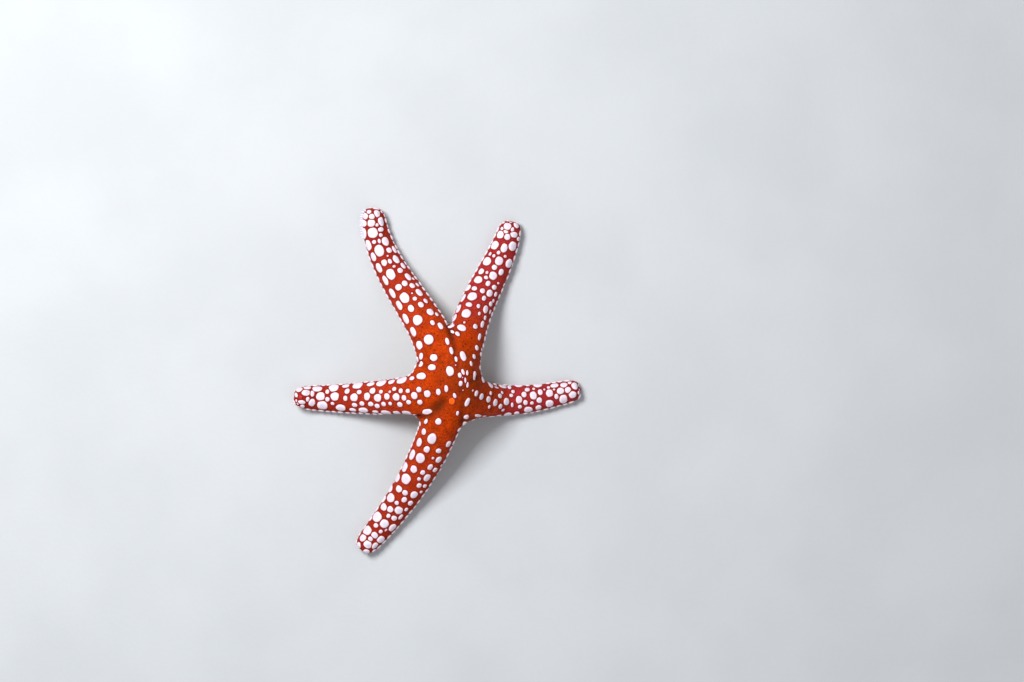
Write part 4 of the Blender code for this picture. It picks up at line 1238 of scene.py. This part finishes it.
def new_finish(name, specular=0.35):
    """An empty material: itself, its node tree and its shader."""
    made = bpy.data.materials.new(name)
    made.use_nodes = True
    shader = made.node_tree.nodes["Principled BSDF"]
    shader.inputs["Specular IOR Level"].default_value = specular
    return made, made.node_tree, shader


@functools.lru_cache(None)
def skin_finish():
    """Leathery orange-red skin, crimson toward the tips and cream below."""
    facts = bpy.context.scene.sea_star_skin
    made, tree, shader = new_finish("granular_skin", specular=0.04)
    reach = attribute(tree, "reach")
    mottled = mottle(tree, facts.disc_colour, facts.shade_colour, 650.0, 0.70)
    # Painted shade over the disc's middle, its right side, a hollow and two valleys, partly the
    # skin's own browner tone
    brown = mottle(tree, facts.shade_brown_colour, facts.shade_colour, 900.0, 0.40)["Colour"]
    colour = blended(tree, attribute(tree, "shade"), mottled["Colour"], brown)
    colour = blended(tree, ramp(tree, reach, 0.15, 0.80), colour, facts.tip_colour)
    colour = blended(tree, attribute(tree, "crimson"), colour, facts.crimson_colour)
    colour = mottle(tree, colour, facts.dapple_colour, 2600.0, 0.45)["Colour"]
    near = ramp(tree, attribute(tree, "swell"), 0.35, 1.0, 0.0, 0.75)
    colour = blended(tree, near, colour, facts.rim_colour)
    specks = placed_group(tree, specks_group(), Scale=1500.0, Radius=0.30, Share=0.70)["Mask"]
    amount = maths(tree, "MULTIPLY", specks, ramp(tree, reach, 0.55, 0.1, 0.15, 0.85))
    colour = blended(tree, amount, colour, facts.speck_colour)
    # Painted shade in the creases and hollows, by their depth
    colour = blended(tree, attribute(tree, "crease"), colour, facts.crease_shade_colour)
    below = mottle(tree, facts.belly_colour, facts.disc_colour, 500.0, 0.25)
    colour = blended(tree, attribute(tree, "belly"), colour, below["Colour"])
    grains = placed_group(tree, granules_group(), Scale=5200.0)
    # Painted shade in the furrows between the skin's grains
    between = maths(tree, "MULTIPLY", grains["Between"], 0.35)
    colour = blended(tree, between, colour, facts.crease_shade_colour)
    complete(tree, shader, colour, mottled["Mask"], (0.42, 0.60), grains, 0.00006)
    return made


@functools.lru_cache(None)
def plate_finish():
    """White calcite with a lavender heart and a crimson rim."""
    facts = bpy.context.scene.sea_star_plates
    made, tree, shader = new_finish("calcite_plates")
    share = attribute(tree, "share")
    white = mottle(tree, facts.plate_colour, facts.heart_colour, 1500.0, 0.30)["Colour"]
    heart = ramp(tree, share, 0.80, 0.2, 0.0, 0.70)
    colour = blended(tree, heart, white, facts.heart_colour)
    colour = blended(tree, attribute(tree, "blush"), colour, facts.blush_colour)
    colour = blended(tree, attribute(tree, "below"), colour, facts.belly_colour)
    rim = ramp(tree, share, 0.80, 0.90)
    colour = blended(tree, maths(tree, "MULTIPLY", rim, 0.85), colour, facts.rim_colour)
    grains = placed_group(tree, granules_group(), Scale=5000.0)
    # Painted shade, a faint lavender, in the furrows between the plates' grains
    between = maths(tree, "MULTIPLY", grains["Between"], 0.10)
    colour = blended(tree, between, colour, facts.heart_colour)
    complete(tree, shader, colour, share, (0.36, 0.55), grains, 0.00002)
    return made


def plain_finish(name, first, second, scale, roughness, grain=6000.0, rise=0.00003):
    """A finish of two mottled colours with a fine grain."""
    made, tree, shader = new_finish(name)
    mottled = mottle(tree, first, second, scale, 0.8)
    grains = placed_group(tree, granules_group(), Scale=grain)
    complete(tree, shader, mottled["Colour"], mottled["Mask"], roughness, grains, rise)
    return made


@functools.lru_cache(None)
def madreporite_finish():
    """Bright orange, with painted shade in its grooves."""
    facts = bpy.context.scene.sea_star_madreporite
    made, tree, shader = new_finish("madreporite_orange", specular=0.15)
    mottled = mottle(tree, facts.colour, facts.groove_shade_colour, 1800.0, 0.25)
    # Painted shade in the sieve plate's grooves, by their depth
    colour = blended(tree, attribute(tree, "groove"), mottled["Colour"], facts.groove_shade_colour)
    grains = placed_group(tree, granules_group(), Scale=9000.0)
    complete(tree, shader, colour, mottled["Mask"], (0.40, 0.55), grains, 0.00002)
    return made


def keep_piece(name, bm, finish, replaced=()):
    """Makes a piece of the finished mesh, which stands for the named solids."""
    mesh = to_mesh(bm, name)
    mesh.shade_smooth()
    mesh.materials.append(finish)
    piece = bpy.data.objects.new(name, mesh)
    bpy.context.scene.collection.objects.link(piece)
    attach(piece, "root")
    if replaced:
        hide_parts(*replaced)
    return piece


@functools.lru_cache(None)
def scute_template(sides, rings):
    """A unit dome in rings with a flat back, which every plate is bent from."""
    bm = bmesh.new()
    bmesh.ops.create_circle(bm, cap_ends=True, cap_tris=False, segments=sides, radius=1.0)
    grown = bmesh.ops.extrude_edge_only(bm, edges=bm.edges[:])["geom"]
    ring = [item for item in grown if isinstance(item, bmesh.types.BMEdge)]
    corners = [item for item in grown if isinstance(item, bmesh.types.BMVert)]
    bmesh.ops.scale(bm, vec=(rings[0],) * 3, verts=corners)
    front = bmesh.ops.edgeloop_fill(bm, edges=[edge for edge in ring if edge.is_boundary])["faces"]
    size = rings[0]
    for share in rings[1:]:
        bmesh.ops.inset_region(
            bm, faces=front, thickness=(size - share) * math.cos(math.pi / sides),
            use_even_offset=True,
        )
        size = share
    bmesh.ops.poke(bm, faces=front)
    for corner in bm.verts:
        corner.co.z = 1 - corner.co.xy.length
    bmesh.ops.recalc_face_normals(bm, faces=bm.faces)
    return to_mesh(bm, "scute_template")


def add_copy(bm, template):
    """Adds a template's faces to a mesh and gives its new vertices."""
    start = len(bm.verts)
    bm.from_mesh(template)
    bm.verts.ensure_lookup_table()
    return bm.verts[start:]


def outline(angle, power, turns):
    """How far an irregular rounded plate reaches at an angle, about 1."""
    reach = (abs(math.cos(angle)) ** power + abs(math.sin(angle)) ** power) ** (-1.0 / power)
    return reach * (1 + sum(size * math.cos(k * angle + turn) for k, size, turn in turns))


def rise_at(share, profile):
    """The height at a share of the way out, by straight runs between the profile's points."""
    for (near, low), (far, high) in zip(profile, profile[1:]):
        if share <= far:
            return low + (high - low) * (share - near) / (far - near)
    return profile[-1][1]


def add_scute(bm, scute, template, profile, crown):
    """Bends a template over the form as one plate."""
    dice = scute.dice
    power = dice.uniform(*SQUARENESS)
    turns = [(k, dice.uniform(-WOBBLE, WOBBLE), dice.uniform(0, math.tau)) for k in (2, 3, 5)]
    share = bm.verts.layers.float["share"]
    blush = bm.verts.layers.float["blush"]
    below = bm.verts.layers.float["below"]
    pale = 1.0 if scute.kind == "belly" else 0.5 if scute.kind == "edge" else 0.0
    small = BLUSH_HALF > math.sqrt(scute.half_length * scute.half_width)
    tint = dice.uniform(*(SMALL_TINTS if small else TINTS))
    lean = Vector((dice.uniform(-1, 1), dice.uniform(-1, 1))) * crown * TOP_LEAN
    for corner in add_copy(bm, template):
        out = min(corner.co.xy.length, 1.0)
        angle = math.atan2(corner.co.y, corner.co.x)
        reach = outline(angle, power, turns) if out > 1e-4 else 1.0
        flat = corner.co.xy * reach / RIM_SHARE
        guess = scute.along * flat.x * scute.half_length + scute.across * flat.y * scute.half_width
        if out > 1e-4:
            guess = scute.held(guess, out)
        place, facing, face, way = smooth_form().find_nearest(scute.point + guess)
        height = rise_at(out, profile) + (1 - out) * (crown + lean.dot(corner.co.xy))
        if facing.z > 0:
            height -= crease_depth(place)
        corner[share] = out
        corner[blush] = tint
        corner[below] = pale * ramp_down(facing.z)
        corner.co = place + facing * height
        corner.co.z = max(corner.co.z, 0.0)


def ramp_down(slope):
    """0 for what faces up or sideways, and 1 for what faces down."""
    return 1.0 - min(max((slope + PALE_SLOPE) / PALE_RUN, 0.0), 1.0)


def new_scutes():
    bm = bmesh.new()
    for name in ("share", "blush", "below"):
        bm.verts.layers.float.new(name)
    return bm


@functools.lru_cache(None)
def turned(profile, steps):
    """A closed form turned about its axis from (radius, height) points, in millimetres."""
    bm = bmesh.new()
    points = [bm.verts.new((radius, 0.0, height)) for radius, height in profile]
    edges = [bm.edges.new(pair) for pair in zip(points, points[1:])]
    bmesh.ops.spin(
        bm, geom=points + edges, cent=(0, 0, 0), axis=(0, 0, 1), angle=math.tau, steps=steps,
        use_merge=True,
    )
    bmesh.ops.remove_doubles(bm, verts=bm.verts, dist=1e-5)
    bmesh.ops.recalc_face_normals(bm, faces=bm.faces)
    return to_mesh(bm, "turned_form")


def add_turned(bm, template, root, direction, length, width, lean, dice):
    """Sets a turned form on a root, stretched, and leaning more toward its end."""
    side = direction.orthogonal().normalized()
    other = direction.cross(side)
    bend = (side * dice.uniform(-1, 1) + other * dice.uniform(-1, 1)) * lean
    for corner in add_copy(bm, template):
        x, y, z = corner.co
        share = max(z, 0.0)
        corner.co = root + (side * x + other * y) * width + direction * z * length
        corner.co += bend * share * share * length
        corner.co.z = max(corner.co.z, 0.0)


def keep_turned(name, template, places, lean, dice, finish, replaced=()):
    """Makes a piece of turned forms: each place has a root, a direction, a length and a width."""
    bm = bmesh.new()
    for root, direction, length, width in places:
        add_turned(bm, template, root, direction, length, width, lean, dice)
    keep_piece(name, bm, finish, replaced)


def colour_setting(name, description, *light):
    return FloatVectorProperty(
        name=name, description=description, subtype="COLOR", size=3, min=0, max=1,
        default=linear(*light),
    )


def amount_setting(name, description, amount, unit="LENGTH"):
    return FloatProperty(name=name, description=description, default=amount, min=0.0, unit=unit)


class SkinSettings(bpy.types.PropertyGroup):
    disc_colour: colour_setting(
        "Disc colour", "The skin of the disc and the arms' roots", 214, 66, 0
    )
    shade_colour: colour_setting(
        "Patch colour", "The darker patches in the disc's skin", 164, 48, 0
    )
    # Painted shade over the middle and the right side, partly the skin's own browner tone
    shade_brown_colour: colour_setting(
        "Browner parts", "The browner skin of the middle and the right side", 140, 48, 4
    )
    tip_colour: colour_setting("Tip colour", "The skin toward the arms' tips", 168, 44, 12)
    crimson_colour: colour_setting(
        "Crimson arms", "The redder skin of the right-hand arms", 182, 46, 60
    )
    dapple_colour: colour_setting(
        "Dapples", "The small darker dapples all over the back", 118, 38, 4
    )
    rim_colour: colour_setting("Near plates", "The skin close to a plate", 134, 20, 34)
    speck_colour: colour_setting("Specks", "The small dark dots on the back", 58, 26, 10)
    # Painted shade in the creases and hollows, and between the skin's grains
    crease_shade_colour: colour_setting("Creases", "The skin in the creases", 74, 30, 8)
    belly_colour: colour_setting("Underside", "The skin of the underside", 232, 176, 128)
    swell: amount_setting("Swelling", "How far the skin swells under a plate", 0.00008)
    furrow_depth: amount_setting(
        "Furrow depth", "How deep the furrows run under the arms", 0.0011
    )


class PlateSettings(bpy.types.PropertyGroup):
    plate_colour: colour_setting("Plates", "The plates' white", 248, 228, 224)
    heart_colour: colour_setting(
        "Hearts", "The faint tint in the middle of a plate", 202, 200, 234
    )
    blush_colour: colour_setting("Small plates", "The tint of the small plates", 226, 150, 130)
    belly_colour: colour_setting("Underside", "The plates of the underside", 244, 222, 190)
    rim_colour: colour_setting("Rims", "The skin that creeps over a plate's rim", 138, 18, 38)
    rise: amount_setting("Rise", "How far the middle of a plate stands up", 0.00030)


class EndSettings(bpy.types.PropertyGroup):
    eye_colour: colour_setting("Eye spots", "The red spot at each arm's tip", 196, 40, 24)
    rise: amount_setting("Rise", "How far a terminal plate stands up", 0.00038)


class MadreporiteSettings(bpy.types.PropertyGroup):
    colour: colour_setting("Colour", "The sieve plate's ridges", 250, 120, 6)
    # Painted shade in the sieve plate's grooves
    groove_shade_colour: colour_setting("Grooves", "The sieve plate's grooves", 214, 66, 2)


class MouthSettings(bpy.types.PropertyGroup):
    colour: colour_setting("Membrane", "The soft skin round the mouth", 226, 160, 120)


class SpineSettings(bpy.types.PropertyGroup):
    colour: colour_setting("Spines", "The blunt spines beside the furrows", 240, 208, 168)
    fringe_colour: colour_setting(
        "Fringe", "The pointed spines round an arm's tip", 226, 226, 246
    )
    length: amount_setting("Length", "How far a spine stands out", 0.0010)


class FootSettings(bpy.types.PropertyGroup):
    colour: colour_setting("Tube feet", "The soft tube feet", 238, 206, 170)
    length: amount_setting("Length", "How long a tube foot is, with nothing in its way", 0.0021)


class StageSettings(bpy.types.PropertyGroup):
    floor_colour: colour_setting("Floor", "The floor under the model", 196, 199, 202)
    key_power: amount_setting(
        "Key light", "The power of the light from the upper left", 1.75, "POWER"
    )
    fill_power: amount_setting(
        "Fill light", "The power of the light from the lower right", 0.30, "POWER"
    )


class OBJECT_OT_sea_star_skin(bpy.types.Operator):
    """Draws the skin over the disc and the arms"""

    bl_idname = "object.sea_star_skin"
    bl_label = "Skin"

    def execute(self, context):
        facts = context.scene.sea_star_skin
        bm = bmesh.new()
        bm.from_mesh(smooth_mesh())
        coarse = [edge for edge in bm.edges if edge.calc_length() > LONGEST_EDGE]
        bmesh.ops.subdivide_edges(bm, edges=coarse, cuts=1, use_grid_fill=True)
        bm.normal_update()
        layers = {
            name: bm.verts.layers.float.new(name)
            for name in ("reach", "crimson", "swell", "crease", "shade", "belly")
        }
        sunk = []
        for corner in bm.verts:
            point = corner.co.copy()
            facing = corner.normal
            swell = swelling(point)
            crease = furrow = 0.0
            if facing.z > 0:
                crease = crease_depth(point)
            else:
                furrow = facts.furrow_depth * furrow_share(point)
                furrow = max(furrow, MOUTH_DEPTH * mouth_share(point))
            waver = noise.noise(point * WAVER_SCALE) * WAVER_SIZE
            lift = facts.swell * swell + waver - crease - furrow
            arm, share = arm_and_share(point)
            corner[layers["reach"]] = share
            corner[layers["crimson"]] = arm.crimson * (1 - step_down(share, 0.0, CRIMSON_FULL))
            corner[layers["swell"]] = swell
            # Painted shade in the creases, by their depth
            corner[layers["crease"]] = min(crease / CREASE_FULL_SHADE, CREASE_SHADE_MOST)
            # Painted shade over parts of the back, by their place in plan
            corner[layers["shade"]] = shade_share(point)
            corner[layers["belly"]] = ramp_down(facing.z)
            sunk.append((corner, point + facing * lift))
        for corner, place in sunk:
            corner.co = place
            corner.co.z = max(corner.co.z, SKIN_FLOOR)
        nodes = ["disc"]
        nodes += [f"arm_{arm.name}_{part}" for arm in all_arms() for part in ("base", "outer")]
        keep_piece("skin", bm, skin_finish(), nodes)
        return {"FINISHED"}


class OBJECT_OT_sea_star_plates(bpy.types.Operator):
    """Sets the plates into the skin of the disc and each arm"""

    bl_idname = "object.sea_star_plates"
    bl_label = "Plates"

    def execute(self, context):
        rise = context.scene.sea_star_plates.rise
        template = scute_template(*PLATE_GRID)
        for name, scutes in all_scutes().items():
            bm = new_scutes()
            for scute in scutes:
                size = min(1.0, scute.half_width / FULL_RISE_HALF)
                profile = [(share, height * size) for share, height in PLATE_PROFILE]
                crown = rise - PLATE_PROFILE[0][1] + EDGE_RISE * (scute.kind == "edge")
                add_scute(bm, scute, template, profile, crown * size)
            keep_piece("plates_" + name, bm, plate_finish())
        return {"FINISHED"}


class OBJECT_OT_sea_star_ends(bpy.types.Operator):
    """Sets a terminal plate and an eye spot at each arm's tip"""

    bl_idname = "object.sea_star_ends"
    bl_label = "Arm ends"

    def execute(self, context):
        facts = context.scene.sea_star_ends
        template = scute_template(*END_GRID)
        form = turned(EYE_PROFILE, EYE_SIDES)
        red = plain_finish(
            "eye_spot_red", facts.eye_colour, linear(140, 16, 14), 2500.0, (0.25, 0.4)
        )
        for arm, scute in zip(all_arms(), end_scutes()):
            bm = new_scutes()
            add_scute(bm, scute, template, END_PROFILE, facts.rise - END_PROFILE[0][1])
            name = "tip_plate_" + arm.name
            keep_piece("terminal_plate_" + arm.name, bm, plate_finish(), [name])
            name = "eye_spot_" + arm.name
            spot = (*eye_place(arm), EYE_RADIUS, EYE_RADIUS)
            dice = random.Random(arm.name)
            keep_turned("red_" + name, form, [spot], 0.0, dice, red, [name])
        return {"FINISHED"}


class OBJECT_OT_sea_star_madreporite(bpy.types.Operator):
    """Sets the grooved sieve plate into the disc"""

    bl_idname = "object.sea_star_madreporite"
    bl_label = "Madreporite"

    def execute(self, context):
        template = scute_template(*SIEVE_GRID)
        bm = new_scutes()
        groove = bm.verts.layers.float.new("groove")
        scute = madreporite_scute()
        add_scute(bm, scute, template, END_PROFILE, SIEVE_RISE)
        share = bm.verts.layers.float["share"]
        for corner in bm.verts:
            way = corner.co - scute.point
            spin = math.atan2(way.dot(scute.across), way.dot(scute.along))
            bend = SIEVE_WAVER_SIZE * noise.noise(way * SIEVE_WAVER_SCALE)
            wave = 0.5 + 0.5 * math.cos(SIEVE_RAYS * spin + 3 * bend + 9 * corner[share])
            depth = wave ** 2 * min(1.0, 5 * corner[share]) * min(1.0, 12 * (1 - corner[share]))
            corner[groove] = depth
            corner.co -= scute.facing * depth * SIEVE_DEPTH
        keep_piece("sieve_plate", bm, madreporite_finish(), ["madreporite"])
        return {"FINISHED"}


class OBJECT_OT_sea_star_mouth(bpy.types.Operator):
    """Closes the mouth with its soft membrane and sets the jaw plates round it"""

    bl_idname = "object.sea_star_mouth"
    bl_label = "Mouth"

    def execute(self, context):
        facts = context.scene.sea_star_mouth
        finish = plain_finish(
            "mouth_membrane", facts.colour, linear(180, 92, 66), 1200.0, (0.3, 0.5)
        )
        place, down = mouth_place()
        side = down.orthogonal().normalized()
        other = down.cross(side)
        bm = bmesh.new()
        for corner in add_copy(bm, turned(MEMBRANE_PROFILE, 60)):
            x, y, z = corner.co * MILLIMETRE
            fold = MEMBRANE_FOLD * math.cos(MEMBRANE_FOLDS * math.atan2(y, x))
            fold *= math.sin(math.pi * min(1, math.hypot(x, y) / MEMBRANE_REACH))
            corner.co = place + side * x + other * y + down * (z + fold - MOUTH_DEPTH)
        keep_piece("mouth_membrane", bm, finish, ["mouth"])
        bm = new_scutes()
        template = scute_template(*PLATE_GRID)
        for valley in VALLEYS:
            outward = Vector((*valley, 0.0))
            outward = (outward - outward.dot(down) * down).normalized()
            across = outward.cross(down)
            for sign in (1, -1):
                start = place + outward * JAW_REACH + across * sign * JAW_APART
                point, facing, face, way = smooth_form().find_nearest(start)
                along = outward + across * sign * JAW_SPLAY
                jaw = Scute(point, facing, along, *JAW_SIZE, "belly")
                add_scute(bm, jaw, template, PLATE_PROFILE, JAW_RISE)
        keep_piece("jaw_plates", bm, plate_finish())
        return {"FINISHED"}


def furrow_spines(arm, dice, usual):
    """The root, direction, length and width of each spine beside an arm's furrow."""
    count = round(FURROW_END * arm.length / SPINE_SPACING)
    for band, (reach, size, splay) in enumerate(SPINE_BANDS):
        for i in range(count):
            for side in (1, -1):
                s = FURROW_END * (i + 0.5 * band + dice.uniform(*SPINE_PLACES)) / count
                point, along, right, up = arm.frame(min(s, FURROW_END))
                root, facing = surface(point + right * side * reach, -up)
                if not root:
                    continue
                direction = (facing + right * side * splay).normalized()
                direction += Vector([dice.uniform(-SPINE_SPREAD, SPINE_SPREAD) for _ in range(3)])
                direction.normalize()
                length = usual * size * dice.uniform(*SPINE_LENGTHS)
                if direction.z < 0:
                    length = min(length, (root.z - FOOT_CLEARANCE) / -direction.z)
                if length >= SHORTEST_SPINE:
                    yield root, direction, length, SPINE_RADIUS * dice.uniform(*SPINE_WIDTHS)


def fringe_spines(arm, dice):
    """The same for the fringe, from the side of an arm's tip round to its end."""
    for i in range(FRINGE_COUNT):
        share = (i + dice.uniform(*FRINGE_PLACES)) / FRINGE_COUNT
        s = FRINGE_START + (FURROW_END - FRINGE_START) * min(share / FRINGE_BEND, 1.0)
        round_end = max(0.0, (share - FRINGE_BEND) / (1 - FRINGE_BEND))
        turn = math.radians(FRINGE_TURN) * round_end
        point, along, right, up = arm.frame(s)
        outward = along * math.sin(turn) - right * math.cos(turn)
        root, facing = surface(point, outward + up * dice.uniform(*FRINGE_TILT))
        length = FRINGE_LENGTH * dice.uniform(*SPINE_LENGTHS)
        yield root, facing, length, FRINGE_RADIUS * dice.uniform(*SPINE_WIDTHS)


def tube_feet(arm, dice, usual, depth):
    """The same for the two rows of tube feet in an arm's furrow."""
    for i in range(round(FURROW_END * arm.length / FOOT_SPACING)):
        for side in (1, -1):
            s = (i + 0.25 + 0.5 * (side > 0)) * FOOT_SPACING / arm.length
            point, along, right, up = arm.frame(s)
            root, facing = surface(point + right * side * FOOT_OFFSET, -up)
            if not root:
                continue
            root += up * depth * FOOT_SINK
            length = usual * dice.uniform(*FOOT_LENGTHS)
            yield root, -up, min(length, (root.z - FOOT_CLEARANCE) / up.z), FOOT_RADIUS


class OBJECT_OT_sea_star_spines(bpy.types.Operator):
    """Sets two rows of blunt spines along each furrow's edges and a fringe round one arm's tip"""

    bl_idname = "object.sea_star_spines"
    bl_label = "Spines"

    def execute(self, context):
        facts = context.scene.sea_star_spines
        finish = plain_finish(
            "blunt_spines", facts.colour, linear(214, 160, 120), 1500.0, (0.4, 0.55)
        )
        form = turned(SPINE_PROFILE, SPINE_SIDES)
        for arm in all_arms():
            dice = random.Random(arm.name)
            places = furrow_spines(arm, dice, facts.length)
            keep_turned("spines_" + arm.name, form, places, SPINE_LEAN, dice, finish)
        finish = plain_finish(
            "pointed_spines", facts.fringe_colour, linear(200, 202, 236), 1500.0, (0.4, 0.55)
        )
        form = turned(FRINGE_PROFILE, SPINE_SIDES)
        arm = next(arm for arm in all_arms() if arm.name == FRINGE_ARM)
        dice = random.Random("fringe")
        places = fringe_spines(arm, dice)
        keep_turned("fringe_" + arm.name, form, places, FRINGE_LEAN, dice, finish)
        return {"FINISHED"}


class OBJECT_OT_sea_star_feet(bpy.types.Operator):
    """Sets two rows of tube feet with suckers in each furrow"""

    bl_idname = "object.sea_star_feet"
    bl_label = "Tube feet"

    def execute(self, context):
        facts = context.scene.sea_star_feet
        depth = context.scene.sea_star_skin.furrow_depth
        finish = plain_finish(
            "tube_feet", facts.colour, linear(226, 160, 110), 1400.0, (0.25, 0.4)
        )
        form = turned(FOOT_PROFILE, FOOT_SIDES)
        for arm in all_arms():
            dice = random.Random(arm.name + " feet")
            places = tube_feet(arm, dice, facts.length, depth)
            name = "tube_feet_" + arm.name
            keep_turned(name, form, places, FOOT_LEAN, dice, finish)
        return {"FINISHED"}


class OBJECT_OT_sea_star_stage(bpy.types.Operator):
    """Lays the floor and sets the lights and the camera"""

    bl_idname = "object.sea_star_stage"
    bl_label = "Stage"

    def execute(self, context):
        facts = context.scene.sea_star_stage
        bm = bmesh.new()
        bmesh.ops.create_grid(bm, x_segments=1, y_segments=1, size=FLOOR_HALF)
        mesh = to_mesh(bm, "floor")
        mesh.materials.append(
            plain_finish(
                "pale_floor", facts.floor_colour, linear(190, 193, 196), 30.0, (0.75, 0.85),
                grain=900.0, rise=0.00001,
            )
        )
        floor = bpy.data.objects.new("floor", mesh)
        context.scene.collection.objects.link(floor)
        for name, place, size, power in (
            ("key", KEY_PLACE, KEY_SIZE, facts.key_power),
            ("fill", FILL_PLACE, FILL_SIZE, facts.fill_power),
        ):
            light = bpy.data.lights.new(name, "AREA")
            light.size = size
            light.energy = power
            lamp = bpy.data.objects.new(name, light)
            target = Vector((*DISC_CENTRE, 0.0))
            lamp.location = target + Vector(place)
            lamp.rotation_euler = (-Vector(place)).to_track_quat("-Z", "Y").to_euler()
            context.scene.collection.objects.link(lamp)
        world = bpy.data.worlds.new("pale_room")
        world.use_nodes = True
        sky = world.node_tree.nodes["Background"].inputs
        sky["Color"].default_value = WORLD_COLOUR
        sky["Strength"].default_value = WORLD_STRENGTH
        context.scene.world = world
        lens = bpy.data.cameras.new("camera")
        lens.lens = LENS
        lens.sensor_width = SENSOR_WIDTH
        lens.clip_start = 0.01
        camera = bpy.data.objects.new("camera", lens)
        camera.location = VIEWER
        context.scene.collection.objects.link(camera)
        context.scene.camera = camera
        context.scene.view_settings.view_transform = "Standard"
        return {"FINISHED"}


class VIEW3D_PT_sea_star(bpy.types.Panel):
    bl_label = "Sea Star"
    bl_idname = "VIEW3D_PT_sea_star"
    bl_space_type = "VIEW_3D"
    bl_region_type = "UI"
    bl_category = "Sea Star"

    def draw(self, context):
        for piece, (operator, settings) in PIECES.items():
            box = self.layout.box()
            box.operator(operator.bl_idname)
            for name in settings.__annotations__:
                box.prop(getattr(context.scene, piece), name)


PIECES = {
    "sea_star_skin": (OBJECT_OT_sea_star_skin, SkinSettings),
    "sea_star_plates": (OBJECT_OT_sea_star_plates, PlateSettings),
    "sea_star_ends": (OBJECT_OT_sea_star_ends, EndSettings),
    "sea_star_madreporite": (OBJECT_OT_sea_star_madreporite, MadreporiteSettings),
    "sea_star_mouth": (OBJECT_OT_sea_star_mouth, MouthSettings),
    "sea_star_spines": (OBJECT_OT_sea_star_spines, SpineSettings),
    "sea_star_feet": (OBJECT_OT_sea_star_feet, FootSettings),
    "sea_star_stage": (OBJECT_OT_sea_star_stage, StageSettings),
}


def register():
    for name, (operator, settings) in PIECES.items():
        bpy.utils.register_class(settings)
        setattr(bpy.types.Scene, name, PointerProperty(type=settings))
        bpy.utils.register_class(operator)
    bpy.utils.register_class(VIEW3D_PT_sea_star)


def unregister():
    bpy.utils.unregister_class(VIEW3D_PT_sea_star)
    for name, (operator, settings) in reversed(PIECES.items()):
        bpy.utils.unregister_class(operator)
        delattr(bpy.types.Scene, name)
        bpy.utils.unregister_class(settings)


def main():
    register()
    for piece in PIECES:
        getattr(bpy.ops.object, piece)()


if __name__ == "__main__":
    main()
